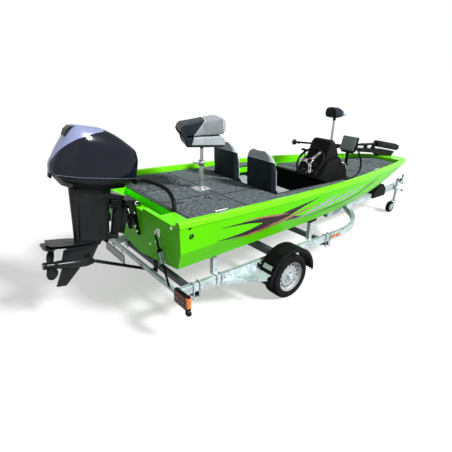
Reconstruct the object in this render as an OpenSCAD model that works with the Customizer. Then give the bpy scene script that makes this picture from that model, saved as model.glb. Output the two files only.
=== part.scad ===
/* [Hull] */
// Length from the transom top to the foremost point of the bow
hull_len = 5270; // [4600:10:5900]
// Half-beam over the gunwales a little forward of the transom
half_beam = 942; // [820:2:1050]
// Height of the gunwale top over the keel at the transom
side_h = 651; // [560:1:740]
// Forward slant of the transom from its top down to the keel
transom_rake = 90; // [40:1:140]
// Thickness of the transom at the motor board
transom_t = 45; // [38:1:60]
// Height of the motor board over the keel
motor_board_h = 558; // [500:1:570]
// Width of the gunwale rail
rail_w = 62; // [45:1:80]
// Depth of the gunwale rail
rail_h = 60; // [50:1:61]
// Height of the aft deck over the keel
aft_deck_h = 588; // [575:1:590]
// Height of the front deck over the keel
front_deck_h = 520; // [450:1:525]
// Thickness of the deck plates
deck_t = 14; // [8:1:18]
// Height of the cockpit floor over the keel
floor_h = 190; // [180:1:240]
// Aft end of the cockpit
cockpit_x0 = 1470; // [1400:10:1600]
// Forward end of the cockpit
cockpit_x1 = 2720; // [2600:10:2900]
// Half-width of the cockpit between the side lockers
cockpit_half = 600; // [520:5:640]
// Forward end of the front deck
deck_x1 = 4740; // [4600:10:4800]
// Aft edge of the aft deck, where the splashwell begins
well_x1 = 210; // [180:5:300]
// Depth of the splashwell floor below the motor board
well_drop = 60; // [20:5:120]
// Half-width of the splashwell
well_half = 520; // [300:10:620]
// Nose-down slope of the boat on its trailer in degrees
trim = 1; // [0:0.25:2]
// Height of the keel over the ground at the transom
keel_z0 = 574; // [560:1:600]

/* [Hatches] */
// Length of an aft hatch lid
hatch_l = 560; // [400:10:600]
// Width of an aft hatch lid
hatch_w = 430; // [300:10:470]
// Aft edge of the aft hatches
hatch_x0 = 290; // [260:10:400]
// Distance of an aft hatch from the middle of the boat
hatch_y0 = 230; // [210:5:260]
// Aft edge of the bow hatch
bow_hatch_x0 = 3770; // [3600:10:3900]
// Length of the bow hatch lid
bow_hatch_l = 520; // [400:10:540]
// Width of the bow hatch lid
bow_hatch_w = 460; // [300:10:500]
// Gap around a hatch lid
hatch_gap = 4; // [3:0.5:8]
// Width of the ledge that a lid rests on
ledge = 20; // [12:1:30]
// Depth of the boxes under the lids
box_depth = 240; // [120:10:280]

/* [Outboard] */
// Height of the tilt axis over the motor board
tilt_rise = 42; // [30:1:60]
// Tilt of the outboard as parked, in degrees
tilt_rest = 9; // [5:0.5:14]
// Distance of the steering axis behind the tilt axis
steer_back = 150; // [120:5:180]
// Length of the cowl
cowl_l = 730; // [600:5:760]
// Width of the cowl
cowl_w = 400; // [340:5:440]
// Depth of the propeller axis below the tilt axis
prop_drop = 622; // [560:2:700]
// Radius of the propeller
prop_r = 165; // [140:1:180]
// Number of propeller blades
blades = 3; // [3:1:4]

/* [Trailer] */
// Height of the top of the side rails
frame_top = 470; // [440:1:500]
// Depth of the side rails
frame_h = 85; // [70:1:100]
// Width of the side rails
frame_w = 55; // [40:1:60]
// Distance from the middle to the outer face of a side rail
frame_y = 765; // [700:5:768]
// Wall thickness of the trailer tubes
tube_t = 4; // [3:0.5:6]
// Place along the side rails where they start to bend inwards
bend_x = 2600; // [2500:10:2700]
// Bend radius of the side rails
bend_r = 1100; // [900:10:1200]
// Angle through which the side rails bend inwards
bend_a = 50; // [40:1:55]
// Radius of the road tyres
tyre_r = 262.3; // [255:0.1:290]
// Width of the road tyres
tyre_w = 190; // [165:1:205]
// Radius of the wheel rims
rim_r = 178; // [160:1:190]
// Distance from the middle to the middle of a road tyre
wheel_y = 895; // [885:1:920]
// Distance of the road wheels forward of the transom
axle_x = 1443; // [1350:1:1550]
// Radius of the jockey wheel
jockey_r = 100; // [90:1:115]
// Distance of the jockey wheel forward of the transom
jockey_x = 5240; // [5150:10:5300]
// Distance of the coupling ball forward of the transom
ball_x = 5560; // [5450:10:5650]
// Height of the coupling ball centre
ball_z = 470; // [400:5:500]
// Radius of the ball that the coupling takes
ball_r = 25; // [25:1:26]

/* [Seats] */
// Distance of the aft pedestal forward of the transom
post_x = 880; // [800:10:950]
// Height of the aft pedestal's seat over the deck
post_h = 500; // [350:10:560]
// Swivel of the aft seat as parked in degrees
seat_turn = -24; // [-90:1:90]
// Distance of the starboard cockpit seat from the middle
helm_seat_y = 310; // [290:5:330]
// Distance of the port cockpit seat from the middle
mate_seat_y = 340; // [290:5:340]
// Distance of the bow pedestal forward of the transom
bow_post_x = 3190; // [3050:10:3300]
// Height of the bow saddle over the front deck
bow_post_h = 770; // [450:10:850]

/* [Console] */
// Distance of the console from the middle, to starboard
console_off = 360; // [300:5:380]
// Width of the console's body
console_w = 400; // [320:10:440]
// Radius of the steering wheel's rim
wheel_r = 186; // [160:2:190]
// Slope of the steering wheel's face from upright in degrees
wheel_a = 35; // [20:1:45]
// Width of the fishfinder's face
screen_w = 210; // [160:5:300]
// Height of the fishfinder's face
screen_h = 195; // [140:5:230]

/* [Hidden] */
$fn = 48;
fit = 0.3;
run = 0.05;
x_mid = 2355;
function sx(x) = x * hull_len / 5270;
function sy(y) = y * half_beam / 942;
function sz(z) = z * side_h / 651;
// Stations: x, gunwale half-beam and height, knuckle, chine, keel height
ST = [
  [0, 925, 651, 880, 331, 787, 139, 0],
  [500, 942, 657, 896, 362, 800, 168, 0],
  [1000, 936, 655, 890, 380, 797, 190, 0],
  [1500, 918, 650, 870, 386, 778, 204, 0],
  [2000, 890, 646, 838, 381, 745, 212, 0],
  [2500, 845, 642, 785, 370, 690, 219, 0],
  [3000, 772, 635, 706, 358, 610, 224, 0],
  [3500, 668, 624, 598, 354, 502, 230, 4],
  [4000, 553, 606, 476, 366, 380, 245, 12],
  [4500, 425, 582, 344, 392, 250, 272, 34],
  [4900, 300, 559, 222, 420, 138, 314, 120],
  [5150, 188, 541, 118, 444, 56, 360, 295],
  [5270, 70, 526, 40, 462, 14, 396, 380]];
function lin(a, b, t) = a + (b - a) * t;
// A column of the table at any x, straight between the stations
function st(x, c, i = 0) = (i >= len(ST) - 2 || x <= sx(ST[i + 1][0]))
  ? lin(ST[i][c], ST[i + 1][c], (x - sx(ST[i][0])) / (sx(ST[i + 1][0]) - sx(ST[i][0])))
  : st(x, c, i + 1);
function gun_y(x) = sy(st(x, 1));
function gun_z(x) = sz(st(x, 2));
function rake_x(x, z) = x == 0 ? transom_rake * (1 - z / side_h) : x;
aft_under = aft_deck_h - deck_t;
front_under = front_deck_h - deck_t;
board_x = rake_x(0, motor_board_h);
tilt_x = board_x + 8;
tilt_z = motor_board_h + tilt_rise;

// Solid between rings of equal count, counter-clockwise when seen from the first ring's side.
// From the side numbered flip on, the facets are split along the other diagonal.
module loft(rings, flip = 1000) {
  n = len(rings[0]);
  m = len(rings);
  polyhedron(points = [for (r = rings) each r], faces = concat(
    [[for (i = [n - 1:-1:0]) i]],
    [for (j = [0:m - 2], i = [0:n - 1]) let (a = j * n + i, b = j * n + (i + 1) % n)
      each i < flip ? [[a, b + n, a + n], [a, b, b + n]] : [[a, b, a + n], [b, b + n, a + n]]],
    [[for (i = [0:n - 1]) (m - 1) * n + i]]));
}
module both() { children(); mirror([0, 1, 0]) children(); }
module bar(a, b, r) {
  d = b - a;
  translate(a) rotate([0, acos(d[2] / norm(d)), atan2(d[1], d[0])]) cylinder(r = r, h = norm(d));
}
module boat() { translate([-x_mid, 0, keel_z0]) rotate([0, trim, 0]) children(); }
module road() { translate([-x_mid, 0, 0]) children(); }
module motor() { boat() translate([tilt_x, 0, tilt_z]) rotate([0, tilt_rest, 0]) children(); }
// Plate standing along the boat from a side view outline
module side_plate(y0, y1, pts) {
  translate([0, y1, 0]) rotate([90, 0, 0]) linear_extrude(y1 - y0) polygon(pts);
}
module rbox(l, w, h, r) {
  linear_extrude(h) hull() for (x = [r, l - r], y = [-w / 2 + r, w / 2 - r]) translate([x, y]) circle(r = r);
}

// Hull shell with its cockpit, splashwell and boxes
hull_x = [for (s = ST) sx(s[0])];
// Corner points of the half section at a station: keel, chine, knuckle, rail seat
function half_ring(x) = let (zt = gun_z(x) - rail_h, zk = sz(st(x, 4)), zc = sz(st(x, 6)), zl = sz(st(x, 7)))
  [[rake_x(x, zl), 0, zl], [rake_x(x, zc), -sy(st(x, 5)), zc], [rake_x(x, zk), -sy(st(x, 3)), zk],
   [rake_x(x, zt), -gun_y(x) + 6, zt]];
module hull_loft() {
  loft([for (x = hull_x) let (h = half_ring(x)) concat(h, [for (i = [3:-1:1]) [h[i][0], -h[i][1], h[i][2]]])], 4);
}
// Height of the hull bottom over a point, on the same facets as the shell
function plane_z(a, b, c, x, y) = let (n = cross(b - a, c - a)) a[2] - (n[0] * (x - a[0]) + n[1] * (y - a[1])) / n[2];
function bottom_z(x, y, i = 0) = x > hull_x[i + 1] ? bottom_z(x, y, i + 1)
  : let (p = half_ring(hull_x[i]), q = half_ring(hull_x[i + 1]), w = -abs(y), t = (x - p[0][0]) / (q[0][0] - p[0][0]))
    w < q[1][1] * t ? plane_z(p[0], p[1], q[1], x, w) : plane_z(p[0], q[1], q[0], x, w);
function inner(x0, x1, gap) = let (xs = concat([x0], [for (x = hull_x) if (x > x0 + 1 && x < x1 - 1) x], [x1]))
  concat([for (x = xs) [x, -gun_y(x) + rail_w + gap]], [for (i = [len(xs) - 1:-1:0]) [xs[i], gun_y(xs[i]) - rail_w - gap]]);
module hatch_box(x0, y0, l, w, under) {
  translate([x0 + ledge, y0 - w / 2 + ledge, under - box_depth]) cube([l - 2 * ledge, w - 2 * ledge, box_depth + 50]);
}
module boat_hull() {
  color("limegreen") boat() difference() {
    hull_loft();
    translate([0, 0, aft_under]) linear_extrude(200) polygon(inner(well_x1 - 6, cockpit_x1 + 1, 0));
    translate([0, 0, front_under]) linear_extrude(200) polygon(inner(cockpit_x1, deck_x1, 0));
    translate([cockpit_x0, -cockpit_half, floor_h]) cube([cockpit_x1 - cockpit_x0, 2 * cockpit_half, 800]);
    translate([board_x + transom_t, -well_half, motor_board_h - well_drop])
      cube([well_x1 - board_x - transom_t, 2 * well_half, 400]);
    translate([-50, -260, motor_board_h]) cube([well_x1 + 49, 520, 400]);
    both() hatch_box(hatch_x0, hatch_y0 + hatch_w / 2, hatch_l, hatch_w, aft_under);
    hatch_box(bow_hatch_x0, 0, bow_hatch_l, bow_hatch_w, front_under);
  }
}
module gunwale() {
  xs = concat([for (x = hull_x) if (x < deck_x1 - 1) x], [deck_x1 - fit]);
  loft([for (x = xs) let (z = gun_z(x), y = gun_y(x))
    [[rake_x(x, z - rail_h), -y + rail_w, z - rail_h], [rake_x(x, z - rail_h), -y, z - rail_h],
     [rake_x(x, z - 14), -y, z - 14], [rake_x(x, z), -y + 12, z], [rake_x(x, z), -y + rail_w, z]]]);
}
module bow_cap() {
  xs = concat([deck_x1], [for (x = hull_x) if (x > deck_x1 + 1) x]);
  loft([for (x = xs) let (z = gun_z(x), y = gun_y(x))
    [[x, y, z - rail_h], [x, -y, z - rail_h], [x, -y, z - 14], [x, -y + 12, z], [x, y - 12, z], [x, y, z - 14]]]);
}
module gunwales() { color("yellowgreen") boat() { both() gunwale(); bow_cap(); } }
// Horn cleats on the gunwales
cleat_xs = [470, 3420];
module cleats() {
  color("silver") boat() both() for (x = cleat_xs) let (y = gun_y(x) - rail_w / 2 - 8, z = gun_z(x) + 2 * fit)
    translate([x, y, z]) rotate([0, atan((gun_z(x - 50) - gun_z(x + 50)) / 100), -atan((gun_y(x - 50) - gun_y(x + 50)) / 100)]) {
      hull() for (u = [-35, 35]) translate([u, 0, 0]) cylinder(r = 12, h = 4);
      for (u = [-25, 25]) translate([u, 0, 3]) cylinder(r = 7, h = 18);
      hull() { translate([-70, 0, 24]) sphere(r = 5, $fn = 16); translate([-25, 0, 22]) sphere(r = 8, $fn = 16);
        translate([25, 0, 22]) sphere(r = 8, $fn = 16); translate([70, 0, 24]) sphere(r = 5, $fn = 16); }
    }
}
module aft_deck() {
  color("slategray") boat() translate([0, 0, aft_under]) linear_extrude(deck_t) difference() {
    polygon(inner(well_x1, cockpit_x1, 1));
    translate([cockpit_x0, -cockpit_half]) square([cockpit_x1 - cockpit_x0 + 1, 2 * cockpit_half]);
    both() translate([hatch_x0 - hatch_gap, hatch_y0 - hatch_gap])
      square([hatch_l + 2 * hatch_gap, hatch_w + 2 * hatch_gap]);
  }
}
module front_deck() {
  color("slategray") boat() translate([0, 0, front_under]) linear_extrude(deck_t) difference() {
    polygon(inner(cockpit_x1, deck_x1, 1));
    translate([bow_hatch_x0 - hatch_gap, -bow_hatch_w / 2 - hatch_gap])
      square([bow_hatch_l + 2 * hatch_gap, bow_hatch_w + 2 * hatch_gap]);
  }
}
module cockpit_liner() {
  t = 6;
  color("black") boat() difference() {
    translate([cockpit_x0 + fit, -cockpit_half + fit, floor_h + fit])
      cube([cockpit_x1 - cockpit_x0 - 2 * fit, 2 * (cockpit_half - fit), front_under - floor_h - fit]);
    translate([cockpit_x0 + t, -cockpit_half + t, floor_h + t])
      cube([cockpit_x1 - cockpit_x0 - 2 * t, 2 * cockpit_half - 2 * t, 800]);
  }
}
module hatch_lid(x0, y0, l, w, under) {
  translate([x0, y0 - w / 2, under + fit]) difference() {
    cube([l, w, deck_t - fit]);
    translate([l - 60, w / 2, 6]) cylinder(r = 24, h = 20);
  }
}
module aft_hatch_starboard() {
  color("dimgray") boat() hatch_lid(hatch_x0, -hatch_y0 - hatch_w / 2, hatch_l, hatch_w, aft_under);
}
module aft_hatch_port() {
  color("dimgray") boat() hatch_lid(hatch_x0, hatch_y0 + hatch_w / 2, hatch_l, hatch_w, aft_under);
}
module bow_hatch() { color("dimgray") boat() hatch_lid(bow_hatch_x0, 0, bow_hatch_l, bow_hatch_w, front_under); }

// Outboard
clamp_y = 92;
clamp_t = 16;
tube_r = 15;
module clamp_bracket() {
  t = transom_t + 0.6;
  zb = motor_board_h + fit;
  bx = function (z) rake_x(0, z) - 2 * fit;
  color("black") boat() {
    both() side_plate(clamp_y, clamp_y + clamp_t, [[bx(250), 250], [bx(zb), zb], [board_x + t, zb],
      [board_x + t, zb - well_drop + 8], [board_x + t + 14, zb - well_drop + 8], [board_x + t + 14, zb + 14],
      [tilt_x + 40, tilt_z + 4], [tilt_x + 26, tilt_z + 14], [tilt_x + 8, tilt_z + 26], [tilt_x - 22, tilt_z + 22],
      [bx(zb) - 34, zb - 10], [bx(420) - 46, 420], [bx(250) - 30, 250]]);
    side_plate(-clamp_y - 1, clamp_y + 1, [[bx(300), 300], [bx(340), 340], [bx(340) - 12, 340], [bx(300) - 12, 300]]);
    translate([tilt_x, 0, tilt_z]) rotate([90, 0, 0])
      cylinder(r = tube_r - run, h = 2 * (clamp_y + clamp_t) + 40, center = true);
  }
}
module swivel_bracket() {
  color("black") motor() difference() {
    union() {
      side_plate(-clamp_y + 1, clamp_y - 1, [[24, -8], [18, 20], [-14, 26], [-110, 20], [-110, -24], [-20, -26]]);
      side_plate(-50, 50, [[-100, 20], [-110, -330], [-70, -330], [-40, -26], [-60, 20]]);
      translate([-steer_back, 0, -330]) cylinder(r = 42, h = 350);
      side_plate(-40, 40, [[-steer_back, 20], [-steer_back, -330], [-100, -330], [-90, 20]]);
    }
    rotate([90, 0, 0]) cylinder(r = tube_r, h = 400, center = true);
    translate([-steer_back, 0, -340]) cylinder(r = 20, h = 400);
  }
}
// Midsection with the steering shaft, seen from the side
module midsection() {
  color("black") motor() {
    difference() {
      union() {
        hull() {
          translate([-395, 0, -395]) linear_extrude(1) hull() { translate([130, 0]) circle(r = 40); translate([-120, 0]) circle(r = 34); }
          translate([-420, 0, 120]) linear_extrude(1) hull() { translate([130, 0]) circle(r = 60); translate([-150, 0]) circle(r = 60); }
        }
        translate([0, 0, 28]) side_plate(-60, 60, [[-steer_back - 60, 0], [-steer_back + 40, 0], [-steer_back + 40, 30], [-steer_back - 110, 60], [-steer_back - 260, 60], [-steer_back - 260, 0]]);
        translate([0, 0, -390]) side_plate(-34, 34, [[-steer_back - 240, 0], [-steer_back + 30, 0], [-steer_back + 30, 50], [-steer_back - 240, 50]]);
      }
      translate([-steer_back, 0, -338]) cylinder(r = 46, h = 364);
    }
    translate([-steer_back, 0, -341]) cylinder(r = 20 - run, h = 372);
  }
}
module lower_cowl() {
  color("black") motor() loft([for (s = [[121, -620, -250, 70], [150, -700, -130, 130], [215, -762, -60, 190], [255, -790, -45, 198]])
    [for (p = cowl_ring(s[1], s[2], s[3])) [p[0], -p[1], s[0]]]]);
}
// Plan outline of the cowl from its aft end to its front end, with half-width w
function cowl_ring(xa, xf, w) = let (l = xf - xa) [
  [xa, -w * 0.25], [xa + l * 0.06, -w * 0.62], [xa + l * 0.25, -w * 0.95], [xa + l * 0.55, -w], [xa + l * 0.85, -w * 0.93],
  [xf - l * 0.03, -w * 0.78], [xf, -w * 0.55], [xf, w * 0.55], [xf - l * 0.03, w * 0.78], [xa + l * 0.85, w * 0.93],
  [xa + l * 0.55, w], [xa + l * 0.25, w * 0.95], [xa + l * 0.06, w * 0.62], [xa, w * 0.25]];
// Cowl levels: height, aft end, front end, share of the half-width
cowl_rows = [[256, -797, -42, 1], [330, -800, -38, 1], [430, -770, -40, 0.97], [510, -735, -62, 0.9],
  [580, -700, -160, 0.78], [640, -665, -270, 0.6], [680, -630, -380, 0.36]];
cowl_wall = 10;
module cowl_form(d, drop) {
  w = cowl_w / 2;
  k = cowl_l / 730;
  loft([for (s = cowl_rows) [for (p = cowl_ring(s[1] * k + d, s[2] - d, (s[3] * w) - 0.7 * d * min(1, s[3])))
    [p[0], -p[1], s[0] - (s[0] == cowl_rows[0][0] ? drop / 8 : drop)]]]);
}
module cowl() { color("midnightblue") motor() difference() { cowl_form(0, 0); cowl_form(cowl_wall, 8); } }
// Powerhead under the cowl, as one block
module engine() { color("dimgray") motor() translate([-600, -125, 255 + fit]) cube([400, 250, 270]); }
plate_z = -438;
module gearcase() {
  color("black") motor() difference() {
    union() {
      hull() {
        translate([-382, 0, -prop_drop]) scale([1.6, 1, 1]) sphere(r = 34, $fn = 24);
        translate([-420, 0, -prop_drop]) rotate([0, -90, 0]) cylinder(r = 48, h = 170, $fn = 32);
        translate([-700, 0, -prop_drop]) rotate([0, -90, 0]) cylinder(r = 38, h = 2, $fn = 32);
      }
      hull() {
        translate([0, 0, plate_z]) linear_extrude(2) polygon([[-300, 0], [-360, 34], [-560, 34], [-640, 0], [-560, -34], [-360, -34]]);
        translate([0, 0, -prop_drop]) linear_extrude(2) polygon([[-370, 0], [-420, 26], [-600, 22], [-660, 0], [-600, -22], [-420, -26]]);
      }
      side_plate(-7, 7, [[-440, -prop_drop], [-600, -prop_drop - 228], [-690, -prop_drop - 228], [-640, -prop_drop]]);
      translate([0, 0, plate_z]) linear_extrude(9) polygon([[-300, -34], [-300, 34], [-400, 60], [-600, 105], [-820, 95], [-840, 60], [-840, -60], [-820, -95], [-600, -105], [-400, -60]]);
      translate([0, 0, plate_z + 8]) linear_extrude(-395 - plate_z - 8) polygon([[-290, -20], [-290, 20], [-330, 36], [-560, 36], [-640, 20], [-640, -20], [-560, -36], [-330, -36]]);
    }
    translate([-703, 0, -prop_drop]) rotate([0, 90, 0]) cylinder(r = 14, h = 40);
    translate([-860, 0, -prop_drop]) rotate([0, 90, 0]) cylinder(r = 42, h = 860 - 702);
  }
}
module propeller() {
  hub_r = 36;
  color("dimgray") motor() translate([-702 - fit, 0, -prop_drop]) rotate([0, -90, 0]) {
    cylinder(r1 = hub_r, r2 = hub_r - 4, h = 118);
    translate([0, 0, -30]) cylinder(r = 14 - run, h = 31);
    for (i = [0:blades - 1]) rotate([0, 0, i * 360 / blades]) translate([0, 0, 55]) rotate([0, 90, 0]) rotate([0, 0, 35])
      translate([0, 0, hub_r - 6]) linear_extrude(prop_r - hub_r + 6) polygon([[-50, -3], [0, -4], [50, -2], [50, 2], [0, 4], [-50, 3]]);
  }
}
// Bar between the trailer and the gearcase that carries the parked outboard
module motor_support() {
  a = motor_point([-342, 0, -prop_drop]);
  color("black") road() {
    bar([cross_x0 - 38, 0, frame_top - frame_h - 90], a + [18, 0, -8], 17);
    translate([cross_x0 - 30 - 9 - fit, -40, frame_top - frame_h - 105]) cube([9, 80, 105]);
  }
}
// World point of a point given in the outboard's frame, from the transom
function rot_y(p, a) = [p[0] * cos(a) + p[2] * sin(a), p[1], -p[0] * sin(a) + p[2] * cos(a)];
function motor_point(p) = rot_y(rot_y(p, tilt_rest) + [tilt_x, 0, tilt_z], trim) + [0, 0, keel_z0];
function boat_point(p) = rot_y(p, trim) + [0, 0, keel_z0];

// Seats
module rbox_c(l, w, h, r) { translate([-l / 2, 0, 0]) rbox(l, w, h, r); }
module aft_pedestal() {
  color("silver") boat() translate([post_x, 0, aft_deck_h]) {
    rbox_c(180, 180, 6, 12);
    cylinder(r = 27, h = 300);
    cylinder(r = 19, h = post_h - 40);
    translate([0, 0, 296]) rotate([90, 0, 180]) cylinder(r = 7, h = 60);
  }
}
// The aft seat, swivelled about its post, with its origin on the post's top
module aft_seat() {
  boat() translate([post_x, 0, aft_deck_h + post_h]) rotate([0, 0, seat_turn]) children();
}
seat_half = 200;
seat_hinge = [-250, 165];
module aft_seat_base() {
  color("darkslategray") aft_seat() {
    translate([0, 0, -40 + fit]) cylinder(r = 24, h = 41);
    side_plate(-seat_half, seat_half, [[-200, 0], [190, 0], [218, 28], [220, 96], [180, 122], [-180, 104], [-225, 60]]);
    both() side_plate(seat_half - 2, seat_half + 12, [[-205, 50], [-262, 130], [-272, 165], [-255, 184], [-232, 175], [-180, 88]]);
  }
}
module aft_seat_back() {
  color("gray") aft_seat() {
    side_plate(-seat_half + 6, seat_half - 6, [[-250, 140], [-264, 165], [-258, 205], [-225, 232], [150, 302], [198, 300],
      [220, 272], [222, 180], [190, 134], [-180, 111], [-225, 122]]);
    translate([seat_hinge[0], 0, seat_hinge[1]]) rotate([90, 0, 0]) cylinder(r = 9, h = 2 * seat_half - 5, center = true);
  }
}
seat_x = 1540;
// Backrest levels: height, rear face, thickness, half-width
back_rows = [[460, 1490, 98, 235], [600, 1478, 100, 250], [800, 1460, 95, 248], [930, 1446, 80, 232],
  [1000, 1438, 58, 190], [1045, 1433, 30, 110]];
// Rear face of the seat bases, against the foot of the backrests
base_rear = 48 + fit;
module cockpit_seat_base() {
  translate([seat_x, 0, floor_h + 6]) {
    side_plate(-215, 215, [[base_rear, 0], [470, 0], [480, 180], [460, 215], [base_rear, 205]]);
    side_plate(-225, 225, [[base_rear, 204], [440, 214], [492, 232], [500, 262], [482, 292], [110, 284], [base_rear, 270]]);
  }
}
module cockpit_seat_back() {
  loft([for (s = back_rows) [for (p = [[s[1], -s[3] * 0.84], [s[1] + s[2] * 0.45, -s[3]], [s[1] + s[2], -s[3] * 0.9],
    [s[1] + s[2], s[3] * 0.9], [s[1] + s[2] * 0.45, s[3]], [s[1], s[3] * 0.84]]) [p[0], -p[1], s[0]]]]);
}
module seat_bases() {
  color("lightgray") boat() {
    translate([0, -helm_seat_y, 0]) cockpit_seat_base();
    translate([0, mate_seat_y, 0]) cockpit_seat_base();
  }
}
module seat_back_starboard() { color("darkslategray") boat() translate([0, -helm_seat_y, 0]) cockpit_seat_back(); }
module seat_back_port() { color("darkslategray") boat() translate([0, mate_seat_y, 0]) cockpit_seat_back(); }
module bow_pedestal() {
  color("silver") boat() translate([bow_post_x, 0, front_deck_h]) {
    rbox_c(180, 180, 6, 12);
    cylinder(r = 27, h = 380);
    cylinder(r = 19, h = bow_post_h - 40);
  }
}
// Saddle sections from aft: place, half-width, lowest, height
saddle_rows = [[-112, 92, 10, 118], [-95, 105, 0, 140], [0, 102, 0, 138], [70, 88, 4, 110], [150, 58, 12, 72],
  [225, 44, 16, 52], [250, 30, 24, 34]];
module bow_saddle() {
  color("black") boat() translate([bow_post_x, 0, front_deck_h + bow_post_h - 40 + fit]) {
    cylinder(r = 24, h = 60);
    translate([0, 0, 40]) loft([for (s = saddle_rows)
      [[s[0], -s[1] * 0.8, s[2]], [s[0], -s[1], s[2] + s[3] * 0.4], [s[0], -s[1] * 0.85, s[2] + s[3] * 0.85],
       [s[0], -s[1] * 0.5, s[2] + s[3]], [s[0], s[1] * 0.5, s[2] + s[3]], [s[0], s[1] * 0.85, s[2] + s[3] * 0.85],
       [s[0], s[1], s[2] + s[3] * 0.4], [s[0], s[1] * 0.8, s[2]]]]);
  }
}

// Console and controls
console_y = -console_off;
ring = [2311, console_y, 822];
column = 80;
hub_p = ring + column * [cos(wheel_a), 0, -sin(wheel_a)];
// Point of the dash, up along it from the steering shaft
function dash(u) = [hub_p[0] + u * sin(wheel_a), hub_p[2] + u * cos(wheel_a)];
module shaft_frame() { translate(hub_p) rotate([0, wheel_a - 90, 0]) children(); }
pod_half = 150;
module console() {
  color("black") boat() difference() {
    union() {
      side_plate(console_y - console_w / 2, console_y + console_w / 2, [[2500, floor_h + 6.3], [2460, 560], dash(-170), dash(60),
        [2640, 880], [2760, 760], [2850, 640], [2875, front_deck_h + fit], [cockpit_x1 - 7, front_deck_h + fit],
        [cockpit_x1 - 7, floor_h + 6.3]]);
      hull() {
        side_plate(console_y - pod_half, console_y + pod_half, [dash(40), dash(200), [2484, 1030], [2500, 1052], [2575, 1052],
          [2612, 1020], [2700, 830]]);
        side_plate(console_y - pod_half + 24, console_y + pod_half - 24, [[2490, 1070], [2505, 1086], [2560, 1088], [2595, 1062]]);
      }
      side_plate(console_y + console_w / 2 - 1, console_y + console_w / 2 + 70, [[2480, 660], [2500, 800], [2600, 840], [2680, 780], [2660, 640]]);
    }
    shaft_frame() translate([0, 0, -60]) cylinder(r = 12, h = 300);
  }
}
module steering_wheel() {
  color("black") boat() shaft_frame() translate([0, 0, column]) {
    rotate_extrude() translate([wheel_r, 0]) circle(r = 14);
    cylinder(r = 42, h = 16, center = true);
    for (i = [0:2]) rotate([0, 0, 90 + i * 120]) translate([30, -14, -4]) cube([wheel_r - 37, 28, 8]);
    translate([0, 0, -column - 40]) cylinder(r = 12 - run, h = column + 35);
  }
}
// Arm with a round end on the console's port side
module console_arm() {
  a = [2540, console_y + pod_half + 8, 1004];
  b = [2415, 25, 997];
  color("black") boat() {
    translate([a[0] - 30, console_y + pod_half + fit, a[2] - 30]) cube([60, 14, 60]);
    bar(a, b, 12);
    translate(b) sphere(r = 36);
  }
}
screen_x = 2990;
screen_z = 905;
module fishfinder() {
  y = console_y - 45;
  color("gray") boat() {
    translate([screen_x + 40, y, front_deck_h + fit]) {
      rbox_c(160, 120, 14, 10);
      cylinder(r = 22, h = screen_z - front_deck_h - 10);
      side_plate(-5, 5, [[-60, 13], [0, 150], [60, 13]]);
    }
    translate([screen_x, y - screen_w / 2, screen_z]) rotate([0, 14, 0]) {
      translate([12, 20, -22]) cube([50, screen_w - 40, 30]);
      cube([66, screen_w, screen_h]);
    }
  }
}
// Electric bow motor, stowed aslant over the bow from port
module bow_motor_frame() {
  boat() translate([4750, 165, 0]) rotate([0, 0, -12]) children();
}
function cap_z(u) = gun_z(4750 + u * cos(12)) + 1;
mount_z = 610;
bow_bar_z = 772;
module bow_motor_mount() {
  color("black") bow_motor_frame() {
    side_plate(-50, 50, [[20, cap_z(20)], [120, cap_z(120)], [154, cap_z(154)], [330, cap_z(330)], [372, mount_z - 10], [386, mount_z + 20],
      [100, mount_z + 70], [-350, mount_z + 104], [-430, mount_z + 104], [-436, mount_z + 50], [-60, mount_z + 10]]);
    for (x = [-300, -120]) translate([x, -24, mount_z + 60]) difference() {
      cube([46, 48, bow_bar_z - mount_z - 44]);
      translate([23, 24, bow_bar_z - mount_z - 60]) rotate([0, 90, 0]) cylinder(r = 20, h = 100, center = true);
    }
  }
}
// Head of the bow motor from the side, in its own frame
head_pts = [[-60, 728], [-60, 822], [-20, 830], [420, 756], [490, 726], [512, 690], [500, 652], [440, 640], [300, 690], [60, 738]];
module bow_motor() {
  color("black") bow_motor_frame() {
    translate([-900, 0, bow_bar_z]) rotate([0, 90, 0]) cylinder(r = 20 - fit, h = 850);
    hull() { side_plate(-36, 36, head_pts); side_plate(-52, 52, [[-50, 750], [-50, 800], [400, 730], [460, 690], [300, 710]]); }
    translate([-940, -28, bow_bar_z - 32]) cube([60, 56, 64]);
  }
}

// Trailer
module rail_tube() {
  difference() { square([frame_w, frame_h]); translate([tube_t, tube_t]) square([frame_w - 2 * tube_t, frame_h - 2 * tube_t]); }
}
rail_x0 = 90;
bend_end = [bend_x + bend_r * sin(bend_a), -frame_y + bend_r * (1 - cos(bend_a))];
front_run = (-bend_end[1] - 60) / sin(bend_a);
module frame_rail() {
  z0 = frame_top - frame_h;
  translate([rail_x0, -frame_y, z0]) rotate([90, 0, 90]) linear_extrude(bend_x - rail_x0) rail_tube();
  translate([bend_x, bend_r - frame_y, z0]) rotate([0, 0, -90]) rotate_extrude(angle = bend_a, $fn = 96)
    translate([bend_r - frame_w, 0]) rail_tube();
  translate([bend_end[0], bend_end[1], z0]) rotate([0, 0, bend_a]) rotate([90, 0, 90]) linear_extrude(front_run) rail_tube();
}
module frame_starboard() { color("silver") road() frame_rail(); }
module frame_port() { color("silver") road() mirror([0, 1, 0]) frame_rail(); }
module cross_member(x, s) {
  translate([x - s / 2, -frame_y + 2, frame_top - frame_h - s]) difference() {
    cube([s, 2 * frame_y - 4, s]);
    translate([tube_t, -1, tube_t]) cube([s - 2 * tube_t, 2 * frame_y + 4, s - 2 * tube_t]);
  }
}
cross_x0 = 300;
cross_x1 = 2350;
post_xs = [560, 2050];
module cross_members() { color("dimgray") road() { cross_member(cross_x0, 60); cross_member(cross_x1, 60); } }
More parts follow.
